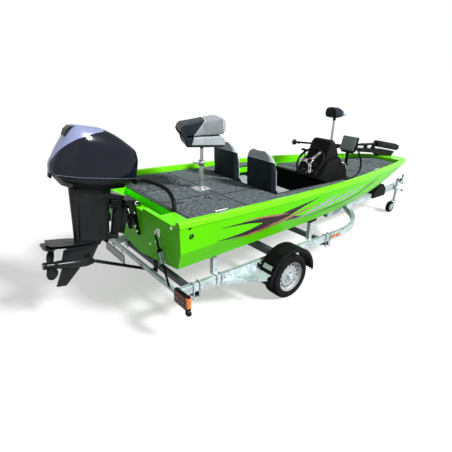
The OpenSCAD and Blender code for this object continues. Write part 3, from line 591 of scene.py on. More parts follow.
@dataclass
class CadDress:
    """Dresses the nodes of the CAD model with finishes and rounded edges."""

    looks: dict[str, NodeLook] = field(default_factory=lambda: {
        "boat_hull": NodeLook(GREEN, 0.004, 12), "gunwales": NodeLook(RAIL_GREEN, 0.007),
        "aft_deck": NodeLook(DECK_CARPET, 0.003), "front_deck": NodeLook(DECK_CARPET, 0.003),
        "cockpit_liner": NodeLook(DARK_CARPET, 0.003), "cleats": NodeLook(ALUMINIUM, 0.001),
        "console_arm": NodeLook(BLACK_PLASTIC, 0.003), "bow_rest": NodeLook(BLACK_PLASTIC, 0.006),
        "aft_hatch_starboard": NodeLook(DECK_CARPET, 0.003),
        "aft_hatch_port": NodeLook(DECK_CARPET, 0.003), "bow_hatch": NodeLook(DECK_CARPET, 0.003),
        "clamp_bracket": NodeLook(BLACK_PAINT, 0.003), "swivel_bracket": NodeLook(BLACK_PAINT, 0.004),
        "midsection": NodeLook(BLACK_GLOSS, 0.012), "lower_cowl": NodeLook(BLACK_GLOSS, 0.01),
        "cowl": NodeLook(COWL_NAVY, 0.02), "engine": NodeLook(CAST_IRON, 0.004),
        "gearcase": NodeLook(BLACK_GLOSS, 0.004), "propeller": NodeLook(BLACK_PAINT, 0.002),
        "motor_support": NodeLook(BLACK_PAINT), "aft_pedestal": NodeLook(ALUMINIUM),
        "aft_seat_base": NodeLook(VINYL_DARK, 0.02), "aft_seat_back": NodeLook(VINYL_DARK, 0.02),
        "seat_bases": NodeLook(VINYL_LIGHT, 0.02), "seat_back_starboard": NodeLook(VINYL_DARK, 0.015),
        "seat_back_port": NodeLook(VINYL_DARK, 0.015), "bow_pedestal": NodeLook(ALUMINIUM),
        "bow_saddle": NodeLook(VINYL_DARK, 0.015), "console": NodeLook(BLACK_PLASTIC, 0.02),
        "steering_wheel": NodeLook(BLACK_PLASTIC, 0.002, 40), "fishfinder": NodeLook(BLACK_PLASTIC, 0.006),
        "bow_motor_mount": NodeLook(BLACK_PAINT, 0.004), "bow_motor": NodeLook(BLACK_PAINT, 0.004),
        "frame_starboard": NodeLook(ZINC, 0.005), "frame_port": NodeLook(ZINC, 0.005),
        "cross_members": NodeLook(DARK_ZINC, 0.004), "support_brackets": NodeLook(ZINC, 0.002),
        "rollers_and_pads": NodeLook(RUBBER, 0.004), "axle": NodeLook(DARK_ZINC, 0.004),
        "tyre_starboard": NodeLook(RUBBER, 0.008), "tyre_port": NodeLook(RUBBER, 0.008),
        "rim_starboard": NodeLook(RIM_PAINT, 0.003), "rim_port": NodeLook(RIM_PAINT, 0.003),
        "mudguards": NodeLook(BLACK_PLASTIC, 0.003), "drawbar": NodeLook(ZINC, 0.005),
        "coupling": NodeLook(ZINC, 0.005), "jockey_tube": NodeLook(ZINC, 0.002),
        "jockey_fork": NodeLook(ZINC, 0.002), "jockey_wheel": NodeLook(RUBBER, 0.008),
        "light_board": NodeLook(ZINC, 0.003), "lamps": NodeLook(LENS_RED, 0.008)})

    def build(self) -> None:
        """Gives every CAD node its finish, smooth shading and rounded edges."""
        for name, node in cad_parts.items():
            look = self.looks[name]
            node.data.materials.clear()
            node.data.materials.append(look.finish.build())
            if "custom_normal" in node.data.attributes:
                node.data.attributes.remove(node.data.attributes["custom_normal"])
            node.data.shade_smooth()
            soften(node, look.edge, look.angle)
        LOG.info("dressed %d CAD nodes", len(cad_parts))


# Sub-assemblies
@dataclass
class Assembly:
    """A group of added pieces that ride on the bodies of the CAD model."""

    body: str = ROOT
    made: list[Piece] = field(default_factory=list)

    def add(self, piece: Piece, body: str = "") -> Piece:
        """Lets a piece ride on a body, by default on this group's own.

        Args:
            piece: The piece.
            body: Name of the body, or nothing.

        Returns:
            The same piece.
        """
        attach(piece, body or self.body)
        self.made.append(piece)
        return piece

    def report(self) -> None:
        """Logs how many pieces the group has."""
        LOG.info("%s: %d pieces", type(self).__name__, len(self.made))


class Skin:
    """Finds points on the surface of CAD nodes."""

    def __init__(self, *names: str) -> None:
        """Keeps the surface of the named nodes.

        Args:
            names: Names of CAD nodes.
        """
        self.trees = []
        for name in names:
            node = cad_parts[name]
            verts = [node.matrix_world @ v.co for v in node.data.vertices]
            self.trees.append(BVHTree.FromPolygons(verts, [tuple(p.vertices) for p in node.data.polygons]))

    def touch(self, start: Vector, way: Vector, lift: float) -> Vector | None:
        """Runs along a ray to the surface.

        Args:
            start: Start of the ray in the row frame.
            way: Its direction.
            lift: How far the point stands off the surface.

        Returns:
            The nearest point hit, lifted off the surface, or None.
        """
        best = None
        for tree in self.trees:
            at, normal, _, far = tree.ray_cast(start, way)
            if at is not None and (best is None or far < best[0]):
                best = (far, at + (normal if normal.dot(way) < 0 else -normal) * lift)
        return best[1] if best else None


@dataclass(frozen=True)
class Band:
    """A sticker: stations of place along the hull, height and half-width."""

    finish: Finish
    stations: tuple[tuple[float, float, float], ...]


@dataclass
class HullGraphics(Assembly):
    """Stickers on both sides of the hull."""

    lift: float = 0.0012
    bold: float = 1.35
    along: int = 10
    across: int = 14
    bands: tuple[Band, ...] = (
        Band(STICKER_DARK, ((0.42, 0.375, 0.001), (0.75, 0.372, 0.014), (1.05, 0.400, 0.032),
                            (1.35, 0.452, 0.030), (1.66, 0.512, 0.012), (1.92, 0.556, 0.001))),
        Band(STICKER_DARK, ((0.46, 0.505, 0.001), (0.80, 0.492, 0.010), (1.12, 0.452, 0.024),
                            (1.42, 0.398, 0.019), (1.78, 0.352, 0.001))),
        Band(STICKER_TAN, ((0.60, 0.338, 0.001), (0.92, 0.345, 0.012), (1.22, 0.378, 0.015),
                           (1.58, 0.430, 0.011), (1.98, 0.470, 0.001))),
        Band(STICKER_TAN, ((0.72, 0.520, 0.001), (0.95, 0.512, 0.006), (1.20, 0.484, 0.008),
                           (1.40, 0.462, 0.001))),
        Band(STICKER_GREY, ((1.50, 0.352, 0.001), (1.74, 0.372, 0.013), (2.05, 0.442, 0.020),
                            (2.34, 0.520, 0.001))),
        Band(STICKER_GREY, ((2.02, 0.384, 0.001), (2.24, 0.418, 0.014), (2.48, 0.470, 0.012),
                            (2.74, 0.522, 0.001))),
        Band(STICKER_GREY, ((2.40, 0.398, 0.001), (2.60, 0.424, 0.012), (2.84, 0.468, 0.010),
                            (3.06, 0.512, 0.001))),
        Band(STICKER_DARK, ((1.75, 0.330, 0.001), (2.35, 0.356, 0.007), (3.00, 0.400, 0.007),
                            (3.60, 0.470, 0.001))),
        Band(STICKER_DARK, ((2.95, 0.440, 0.001), (3.25, 0.470, 0.009), (3.55, 0.508, 0.001))))

    def build(self) -> None:
        """Lays every band on both sides."""
        skin = Skin("boat_hull")
        for side in Side:
            pieces = [self.strip(skin, side, band, i) for i, band in enumerate(self.bands)]
            self.add(join(f"hull_graphics_{side.name.lower()}", pieces))
        self.report()

    def strip(self, skin: Skin, side: Side, band: Band, number: int) -> Piece:
        """Makes one band that follows the hull.

        Args:
            skin: Surface of the hull.
            side: Side of the boat.
            band: The band.
            number: Its number, for the name and for the order of the layers.

        Returns:
            The new piece.
        """
        line = smooth_line([Vector(s) for s in band.stations], self.along)
        verts, faces = [], []
        way = BOAT.to_3x3() @ Vector((0, -side.value, 0))
        n = self.across
        for i, s in enumerate(line):
            ahead = line[min(i + 1, len(line) - 1)] - line[max(i - 1, 0)]
            slope = Vector((ahead.x, ahead.y)).normalized()
            for j in range(n + 1):
                off = max(s.z * self.bold, 0.0008) * (2 * j / n - 1)
                at = (s.x - slope.y * off, s.y + slope.x * off)
                hit = skin.touch(BOAT @ Vector((at[0], side.value * OUTSIDE_Y, at[1])), way,
                                 self.lift + 0.0002 * number)
                verts.append(hit or verts[-1])
        for i in range(len(line) - 1):
            for j in range(n):
                a = i * (n + 1) + j
                face = (a, a + 1, a + n + 2, a + n + 1)
                faces.append(face if side is Side.STARBOARD else tuple(reversed(face)))
        return mesh_object(f"sticker_{number}", verts, faces, band.finish)


@dataclass
class DeckDetail(Assembly):
    """Carpet seams, latches, hull fittings, eyes and the tie-down straps."""

    seam: float = 0.014

    def build(self) -> None:
        """Builds the fittings of the decks and the hull."""
        self.seams()
        self.latches()
        self.fittings()
        self.strap()
        self.report()

    def seams(self) -> None:
        """Lays the joints of the carpet and the bound edge round the cockpit."""
        aft = [((0.26, -0.21), (0.90, -0.21)), ((0.26, 0.21), (0.90, 0.21)), ((0.93, -0.80), (0.93, 0.80)),
               ((0.93, -0.30), (1.46, -0.30)), ((0.93, 0.30), (1.46, 0.30)), ((0.24, -0.80), (0.24, 0.80))]
        front = [((3.55, -0.56), (3.55, 0.56)), ((2.95, -0.66), (2.95, -0.20)), ((2.95, 0.20), (2.95, 0.66)),
                 ((2.95, 0.20), (3.55, 0.20)), ((2.95, -0.20), (3.55, -0.20)), ((4.36, -0.36), (4.36, 0.36))]
        strips = []
        for lines, z in ((aft, AFT_DECK_Z), (front, FRONT_DECK_Z)):
            for (x0, y0), (x1, y1) in lines:
                middle = ((x0 + x1) / 2, (y0 + y1) / 2, z + 0.0009)
                size = (abs(x1 - x0) + self.seam, abs(y1 - y0) + self.seam, 0.0018)
                strips.append(block("seam", middle, size, DARK_CARPET, BOAT, 0.0004))
        for y in (-0.606, 0.606):
            strips.append(block("binding", (2.09, y, AFT_DECK_Z + 0.0015), (1.24, 0.022, 0.004),
                                BLACK_PLASTIC, BOAT))
        strips.append(block("binding", (1.462, 0, AFT_DECK_Z + 0.0015), (0.022, 1.23, 0.004), BLACK_PLASTIC,
                            BOAT))
        strips.append(block("binding", (2.728, 0.1, FRONT_DECK_Z + 0.0015), (0.022, 1.0, 0.004),
                            BLACK_PLASTIC, BOAT))
        self.add(join("carpet_seams", strips))

    def latches(self) -> None:
        """Sets the flush oval latches in the hatch lids."""
        for name, body, spots in (("starboard_latches", "starboard_hatch",
                                   ((0.40, -0.31, AFT_DECK_Z), (0.74, -0.31, AFT_DECK_Z))),
                                  ("port_latches", "port_hatch",
                                   ((0.40, 0.31, AFT_DECK_Z), (0.74, 0.31, AFT_DECK_Z))),
                                  ("bow_latch", "bow_hatch_lid",
                                   ((3.86, -0.12, FRONT_DECK_Z), (3.86, 0.12, FRONT_DECK_Z)))):
            rings = []
            for x, y, z in spots:
                place = BOAT @ shift(x, y, z) @ Matrix.Diagonal((1.5, 1, 1, 1))
                rings.append(lathe("ring", ((0, 0.0008), (0.018, 0.0008), (0.019, 0.003), (0.025, 0.003),
                                            (0.027, 0)), BLACK_PLASTIC, place, 32))
                rings.append(block("pull", (x, y, z + 0.002), (0.03, 0.008, 0.003), CHROME, BOAT, 0.001))
            self.add(join(name, rings), body)

    def disc(self, name: str, at: Point, way: Point, radius: float, finish: Finish, tall: float = 0.006,
             hole: float = 0.0) -> Piece:
        """Makes a round flange on a wall of the hull.

        Args:
            name: Name of the piece.
            at: Middle of its foot in the boat's frame.
            way: Direction that it faces.
            radius: Its radius.
            finish: Its finish.
            tall: How far it stands off.
            hole: Radius of its sunk middle.

        Returns:
            The new piece.
        """
        place = BOAT @ facing(at, way)
        profile = ((hole, -0.004), (hole, tall * 0.8), (radius * 0.6, tall), (radius * 0.9, tall * 0.7),
                   (radius, 0))
        return lathe(name, profile, finish, place, 28)

    def fittings(self) -> None:
        """Adds the drains, the transom's fittings, the tie-down eyes and the bow eye."""
        skin = Skin("boat_hull")
        inward = BOAT.to_3x3() @ Vector((0, 1, 0))
        back = BOAT.inverted()
        pieces = []
        for x, z, r in ((0.139, 0.500, 0.024), (0.115, 0.585, 0.014)):
            for side in Side:
                hit = skin.touch(BOAT @ Vector((x, side.value * OUTSIDE_Y, z)), inward * -side.value, 0)
                pieces.append(self.disc("thru_hull", back @ hit, (0, side.value, 0), r, BLACK_PLASTIC,
                                        0.007, r * 0.4))
        for y, z, r, finish in ((-0.781, 0.563, 0.018, CHROME), (0.781, 0.563, 0.018, CHROME),
                                (-0.44, 0.30, 0.016, CHROME), (0.40, 0.25, 0.012, BRASS),
                                (-0.30, 0.22, 0.012, CHROME)):
            hit = skin.touch(BOAT @ Vector((BEHIND_X, y, z)), BOAT.to_3x3() @ Vector((1, 0, 0)), 0)
            pieces.append(self.disc("transom_fitting", back @ hit, (-1, 0, 0.14), r, finish, 0.008, r * 0.35))
        for side in Side:
            hit = back @ skin.touch(BOAT @ Vector((BEHIND_X, side.value * 0.531, 0.436)),
                                    BOAT.to_3x3() @ Vector((1, 0, 0)), 0)
            pieces.append(tube("tie_eye",
                               [hit + Vector(p)
                                for p in ((0.004, 0, 0.035), (-0.022, 0, 0.03), (-0.034, 0, 0),
                                          (-0.026, 0, -0.03), (0.004, 0, -0.035))], 0.006, CHROME, BOAT))
            pieces.append(block("eye_plate", hit + Vector((-0.001, 0, 0)), (0.006, 0.04, 0.1), CHROME, BOAT,
                                0.001))
        pieces.append(self.disc("bow_eye", (5.05, 0, 0.30), (0.6, 0, -0.8), 0.02, CHROME, 0.006))
        self.add(join("hull_fittings", pieces))

    def strap(self) -> None:
        """Stretches a strap with its ratchet from each transom eye to the trailer."""
        pieces = []
        for side in Side:
            s = side.value
            top, low = Vector((-0.012, s * 0.531, 0.425)), Vector((0.03, s * 0.70, -0.075))
            way = (low - top).normalized()
            pieces.append(tube("hook",
                               [top + Vector(p)
                                for p in ((-0.012, 0, 0.03), (-0.004, 0, 0.012), (0, 0, -0.01))], 0.006,
                               ZINC, BOAT))
            pieces.append(self.ribbon(top, low, 0.045))
            at = top + way * 0.2
            turn = way.to_track_quat("Z", "X").to_matrix().to_4x4()
            place = BOAT @ Matrix.Translation(at) @ turn
            pieces.append(block("ratchet", (0, 0, 0), (0.02, 0.055, 0.10), BLACK_PAINT, place, 0.004))
            pieces.append(block("ratchet_handle", (0.016, 0, 0.03), (0.012, 0.06, 0.11), ZINC, place, 0.003))
        self.add(join("tie_down_straps", pieces))

    def ribbon(self, top: Vector, low: Vector, width: float) -> Piece:
        """Makes a flat woven strap between two points.

        Args:
            top: Upper end.
            low: Lower end.
            width: Its width.

        Returns:
            The new piece.
        """
        half = Vector((0, width / 2, 0.0))
        deep = Vector((0.0018, 0, 0))
        verts = [p + a * half + b * deep for p in (top, low) for a, b in ((-1, -1), (1, -1), (1, 1), (-1, 1))]
        faces = [(0, 1, 5, 4), (1, 2, 6, 5), (2, 3, 7, 6), (3, 0, 4, 7), (3, 2, 1, 0), (4, 5, 6, 7)]
        return mesh_object("strap", verts, faces, WEBBING, BOAT, smooth=False)


def table_at(rows: Sequence[tuple[float, float]], at: float) -> float:
    """Reads a table of place and value, straight between its rows.

    Args:
        rows: The rows, by rising place.
        at: The place.

    Returns:
        The value there.
    """
    for (a, p), (b, q) in zip(rows, rows[1:]):
        if at <= b:
            return p + (q - p) * max(0.0, (at - a) / (b - a))
    return rows[-1][1]


@dataclass
class Cowl(Assembly):
    """Smooth cowl with its light panel, rear intake, crease and bottom seam."""

    body: str = "outboard"
    half_width: float = 0.2
    levels: tuple[tuple[float, float, float, float], ...] = (
        (0.256, -0.797, -0.042, 1.0), (0.330, -0.800, -0.038, 1.0), (0.430, -0.770, -0.040, 0.97),
        (0.510, -0.735, -0.062, 0.90), (0.580, -0.700, -0.160, 0.78), (0.640, -0.665, -0.270, 0.60),
        (0.679, -0.630, -0.380, 0.36))
    plan: tuple[tuple[float, float], ...] = ((0, 0.25), (0.06, 0.62), (0.25, 0.95), (0.55, 1), (0.85, 0.93),
                                             (0.97, 0.78), (1, 0.55))
    around: int = 112
    up: int = 48
    aft_middle: float = 13.5
    crease: tuple[tuple[float, float], ...] = ((0, 1.2), (3, 1.5), (6, 2.3), (7, 2.3), (10, 1.5), (14, 1.2))
    crease_run: float = 0.22
    crease_depth: float = 0.007
    heart: tuple[float, float, float] = (-0.42, 0, 0.36)

    def ring(self, row: tuple[float, float, float, float]) -> list[Vector]:
        """Gives the outline at one level, from aft along starboard round to aft.

        Args:
            row: Height, aft end, front end and share of the half-width.

        Returns:
            Its points.
        """
        z, aft, fore, share = row
        w = self.half_width * share
        one = [Vector((aft + (fore - aft) * a, -w * b, z)) for a, b in self.plan]
        return one + [Vector((p.x, -p.y, p.z)) for p in reversed(one)]

    def point(self, u: float, v: float, lift: float = 0.0) -> Vector:
        """Gives a point of the surface.

        Args:
            u: Place round the outline in control points; 13.5 is the middle of the aft end.
            v: Place up the levels, from 0 to 6.
            lift: Distance outside the surface.

        Returns:
            The point in the outboard's frame.
        """
        rings = [self.ring(r) for r in self.levels]
        n = len(rings[0])

        def spline(p: list[Vector], t: float) -> Vector:
            a, b, c, d = p
            return 0.5 * (2 * b + (c - a) * t + (2 * a - 5 * b + 4 * c - d) * t * t
                          + (3 * b - a - 3 * c + d) * t ** 3)

        def around(ring: list[Vector], at: float) -> Vector:
            i = math.floor(at)
            return spline([ring[(i + k) % n] for k in (-1, 0, 1, 2)], at - i)

        i = min(int(v), len(rings) - 2)
        column = [around(rings[min(max(i + k, 0), len(rings) - 1)], u % n) for k in (-1, 0, 1, 2)]
        at = spline(column, v - i)
        sunk = min(1, max(0, (v - table_at(self.crease, u % n)) / self.crease_run))
        out = (at - Vector(self.heart)).normalized()
        out.z *= 0.4
        return at + out * (lift - self.crease_depth * sunk * sunk * (3 - 2 * sunk))

    def patch(self, name: str, finish: Finish, low: float, high: float,
              span: Callable[[float], tuple[float, float]], lift: float, rows: int = 24,
              columns: int = 48) -> Piece:
        """Makes a thin panel that lies on the surface.

        Args:
            name: Name of the piece.
            finish: Its finish.
            low: Lowest level.
            high: Highest level.
            span: Gives the first and the last place round the outline at a level.
            lift: Distance outside the surface.
            rows: Steps up.
            columns: Steps round.

        Returns:
            The new piece.
        """
        verts, faces = [], []
        for i in range(rows + 1):
            v = low + (high - low) * i / rows
            a, b = span(v)
            verts += [self.point(a + (b - a) * j / columns, v, lift) for j in range(columns + 1)]
        for i in range(rows):
            for j in range(columns):
                a = i * (columns + 1) + j
                faces.append((a + 1, a, a + columns + 1, a + columns + 2))
        return mesh_object(name, verts, faces, finish, MOTOR)

    def build(self) -> None:
        """Builds the shell in place of the CAD cowl, and the panels on it."""
        self.shell()
        spread = ((1.5, 0.35), (2.2, 0.75), (3, 1.35), (4, 2.1), (5, 3.4), (5.6, 4.9), (6, 5.9))
        aft = self.aft_middle
        self.add(self.patch("cowl_light_panel", COWL_SILVER, 1.5, 6.0,
                            lambda v: (aft - table_at(spread, v), aft + table_at(spread, v)), 0.0022))
        self.add(self.patch("cowl_edge_strip", COWL_SILVER, 0.12, 1.42, lambda v: (aft - 0.22, aft + 0.22),
                            0.0018, 12, 6))
        self.add(self.patch("cowl_seam", COWL_SILVER, 0.03, 0.09, lambda v: (0, 14), 0.0012, 2, 160))
        self.intake()
        self.report()

    def shell(self) -> None:
        """Builds the closed shell."""
        verts, faces = [], []
        for i in range(self.up + 1):
            v = 6 * i / self.up
            verts += [self.point(14 * k / self.around, v) for k in range(self.around)]
        for i in range(self.up):
            for k in range(self.around):
                a, b = i * self.around + k, i * self.around + (k + 1) % self.around
                faces.append((b, a, a + self.around, b + self.around))
        top = verts[-self.around:]
        middle = sum(top, Vector()) / len(top)
        for share in (0.75, 0.5, 0.25):
            start = len(verts) - self.around
            verts += [middle + (p - middle) * share + Vector((0, 0, 0.0008)) for p in top]
            for k in range(self.around):
                a, b = start + k, start + (k + 1) % self.around
                faces.append((b, a, a + self.around, b + self.around))
        verts.append(middle + Vector((0, 0, 0.0008)))
        start = len(verts) - 1 - self.around
        faces += [(start + (k + 1) % self.around, start + k, len(verts) - 1) for k in range(self.around)]
        shell = mesh_object("cowl_shell", verts, faces, COWL_NAVY, MOTOR)
        self.add(shell)
        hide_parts("cowl")
        lid = [middle + (p - middle) * 0.97 + Vector((0, 0, 0.0022)) for p in top]
        self.add(mesh_object("cowl_top_panel", lid + [middle + Vector((0, 0, 0.0024))],
                             [((k + 1) % self.around, k, self.around) for k in range(self.around)],
                             COWL_SILVER, MOTOR))

    def intake(self) -> None:
        """Adds the dark intake at the top of the aft end, with its slats."""
        side = ((-0.702, 0.575), (-0.688, 0.632), (-0.655, 0.670), (-0.605, 0.676), (-0.612, 0.640),
                (-0.650, 0.575))
        pieces = [prism("intake", side, -0.052, 0.052, BLACK_GLOSS, MOTOR, "y", 0.006)]
        for i in range(4):
            z = 0.592 + 0.014 * i
            pieces.append(block("slat", (-0.699 + 0.012 * i / 3, 0, z), (0.006, 0.08, 0.004), BLACK_PLASTIC,
                                MOTOR, 0.001))
        self.add(join("cowl_intake", pieces))


@dataclass
class Outboard(Assembly):
    """Fittings of the outboard: bolts, rams, covers, plates, anodes, propeller and hose."""

    body: str = "outboard"
    blades: int = 3

    def build(self) -> None:
        """Builds the details of the motor from its bracket down to the propeller."""
        self.bracket()
        self.middle()
        self.gears()
        self.rigging()
        self.report()

    def bracket(self) -> None:
        """Adds the bolts, the tilt tube's nuts and the rams at the transom."""
        here = BOAT @ shift(TILT_X, 0, TILT_Z)
        parts = []
        for side in SIDES:
            for x, z in ((-0.02, -0.10), (-0.02, -0.24), (0.0, -0.30)):
                parts.append(bolt((x, side * 0.1085, z), (0, side, 0), 0.01, here, CHROME))
            parts.append(lathe("tilt_nut",
                               ((0.015, 0.1085), (0.026, 0.1085), (0.026, 0.126), (0.017, 0.128),
                                (0, 0.128)), CHROME, here @ turned(-90 * side, "X"), 6))
        self.add(join("bracket_bolts", parts), ROOT)
        rams = []
        for y in (-0.064, 0.064):
            rams.append(tube("ram_body", ((0.02, y, -0.29), (-0.045, y, -0.13)), 0.019, BLACK_PAINT, here,
                             16, 1))
            rams.append(tube("ram_rod", ((-0.045, y, -0.13), (-0.075, y, -0.055)), 0.009, CHROME, here, 14,
                             1))
        self.add(join("tilt_rams", rams), ROOT)

    def middle(self) -> None:
        """Adds the mount bolts and covers, the side ribs and the cowl's latch."""
        parts = []
        for side in SIDES:
            for x, z in ((-0.30, 0.06), (-0.52, 0.06), (-0.26, -0.34), (-0.50, -0.36)):
                y = side * (0.0585 if z > 0 else 0.0365)
                parts.append(bolt((x, y, z), (0, side, 0), 0.007, MOTOR, BLACK_PAINT))
            parts.append(block("mount_cover", (-0.20, side * 0.072, -0.02), (0.10, 0.024, 0.09),
                               BLACK_PLASTIC, MOTOR, 0.01))
            parts.append(prism("side_rib", ((-0.56, 0.10), (-0.548, 0.10), (-0.50, -0.36), (-0.512, -0.36)),
                               side * 0.030, side * 0.062, BLACK_GLOSS, MOTOR, "y", 0.004))
        parts.append(block("latch", (-0.812 + 0.02, 0, 0.235), (0.02, 0.07, 0.05), BLACK_PLASTIC, MOTOR,
                           0.006))
        self.add(join("midsection_fittings", parts))

    def gears(self) -> None:
        """Adds the splash plate, its rib, the anodes, the water grilles and the propeller with its nut."""
        parts = [prism("splash_plate",
                       ((-0.30, -0.03), (-0.30, 0.03), (-0.42, 0.074), (-0.64, 0.098), (-0.79, 0.088),
                        (-0.80, 0.05), (-0.80, -0.05), (-0.79, -0.088), (-0.64, -0.098), (-0.42, -0.074)),
                       -0.405, -0.398, BLACK_GLOSS, MOTOR, "z", 0.003),
                 prism("plate_rib", ((-0.64, -0.429), (-0.80, -0.429), (-0.77, -0.405), (-0.66, -0.405)),
                       -0.004, 0.004, BLACK_GLOSS, MOTOR, "y", 0.002)]
        for side in SIDES:
            parts.append(block("anode", (-0.70, side * 0.094, -0.4335), (0.10, 0.016, 0.011), ZINC, MOTOR,
                               0.003))
            for i in range(5):
                parts.append(block("water_slot", (-0.40 - 0.012 * i, side * 0.0338, -0.545),
                                   (0.005, 0.004, 0.045), BLACK_PAINT, MOTOR, 0.001))
        self.add(join("gearcase_fittings", parts))
        hub = MOTOR @ shift(PROPELLER_X, 0, PROPELLER_Z) @ turned(-90, "Y")
        self.add(join("propeller_nut",
                      [lathe("nut", ((0.0, 0.1180), (0.016, 0.1180), (0.015, 0.1186), (0.0, 0.1186)), BRASS,
                             hub, 6),
                       lathe("hub_ring",
                             ((0.0325, 0.100), (0.0350, 0.102), (0.0350, 0.112), (0.032, 0.1178),
                              (0.020, 0.1178)), BLACK_GLOSS, hub, 32)]), "propeller_shaft")
        self.propeller(hub)

    def propeller(self, hub: Matrix) -> None:
        """Builds the hub and its three cupped and twisted blades in place of the CAD ones.

        Args:
            hub: Frame of the propeller, with z aft along its shaft.
        """
        parts = [lathe("hub",
                       ((0, -0.029), (0.0130, -0.030), (0.0134, -0.029), (0.0134, 0), (0.033, 0),
                        (0.036, 0.003), (0.036, 0.030), (0.0345, 0.090), (0.0322, 0.1178), (0.020, 0.1178),
                        (0, 0.1178)), BLACK_GLOSS, hub, 48)]
        for i in range(self.blades):
            parts.append(self.blade(hub @ turned(360 * i / self.blades, "Z")))
        whole = self.add(join("propeller_shaped", parts), "propeller_shaft")
        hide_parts("propeller")

    def blade(self, place: Matrix, rows: int = 18, cols: int = 12) -> Piece:
        """Makes one blade: rounded in outline, thin at its edges and wrapped about the shaft.

        Args:
            place: Frame of the propeller, turned to the blade.
            rows: Steps from the root to the tip.
            cols: Steps along the chord.

        Returns:
            The new blade.
        """
        root, tip, middle = 0.030, 0.1648, 0.055
        chord_root, chord_gain, round_from = 0.036, 0.022, 0.42
        lead, twist = 27, 17
        root_thick, thinning, camber, skew, rake = 0.0052, 0.72, 0.006, 0.010, 0.004
        verts, faces = [], []
        for i in range(rows + 1):
            u = math.sin(math.pi / 2 * i / rows)
            r = root + (tip - root) * u
            chord = chord_root + chord_gain * math.sin(math.pi * min(1.0, u * 1.1) / 1.6)
            chord *= math.sqrt(max(0.0, 1 - max(0.0, (u - round_from) / (1 - round_from)) ** 2.4))
            turn = math.radians(lead + twist * u)
            thick = root_thick * (1 - thinning * u)
            for face in (1, -1):
                for j in range(cols + 1):
                    v = 2 * j / cols - 1
                    swell = (thick * face + camber * u) * (1 - v * v)
                    across = v * chord * math.sin(turn) + swell * math.cos(turn) + skew * u * u
                    along = middle - v * chord * math.cos(turn) + swell * math.sin(turn) + rake * u
                    verts.append((r * math.cos(across / r), r * math.sin(across / r), along))
        n = 2 * (cols + 1)
        for i in range(rows):
            for face in (0, 1):
                for j in range(cols):
                    a = i * n + face * (cols + 1) + j
                    faces.append((a, a + 1, a + n + 1, a + n))
        for j in range(cols):
            faces.append((j, j + 1, cols + 2 + j, cols + 1 + j))
        blade = mesh_object("blade", verts, faces, BLACK_GLOSS, place)
        tidy_mesh(blade)
        return blade

    def rigging(self) -> None:
        """Adds the hose from the cowl to the splashwell, with its gasket and its boot."""
        self.add(block("hose_gasket", (-0.056, -0.10, 0.226), (0.03, 0.15, 0.055), RUBBER, MOTOR, 0.012))
        local = [(-0.11, -0.10, 0.225), (-0.03, -0.10, 0.225), (0.05, -0.12, 0.232), (0.13, -0.22, 0.222),
                 (0.19, -0.34, 0.19), (0.205, -0.44, 0.12), (0.20, -0.49, 0.03), (0.20, -0.505, -0.055)]
        path = smooth_line([MOTOR @ Vector(p) for p in local], 5)
        hose = tube("rigging_hose", path, 0.021, HOSE, sides=16, steps=1)
        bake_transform(hose)
        self.made.append(hose)
        foot = Matrix.Translation(path[-1] + Vector((0, 0, -0.012)))
        self.add(lathe("hose_boot",
                       ((0.050, 0), (0.048, 0.008), (0.036, 0.012), (0.031, 0.03), (0.026, 0.055),
                        (0.0215, 0.06)), RUBBER, foot, 28), ROOT)


@dataclass(frozen=True)
class Panel:
    """A colour field of a cushion: a finish and a test of a point in the cushion's frame."""

    finish: Finish
    holds: Callable[[Vector], bool]


@dataclass(frozen=True)
class Cut:
    """A seam plane through a cushion, by a point and a direction in its frame."""

    at: tuple[float, float, float]
    way: tuple[float, float, float]


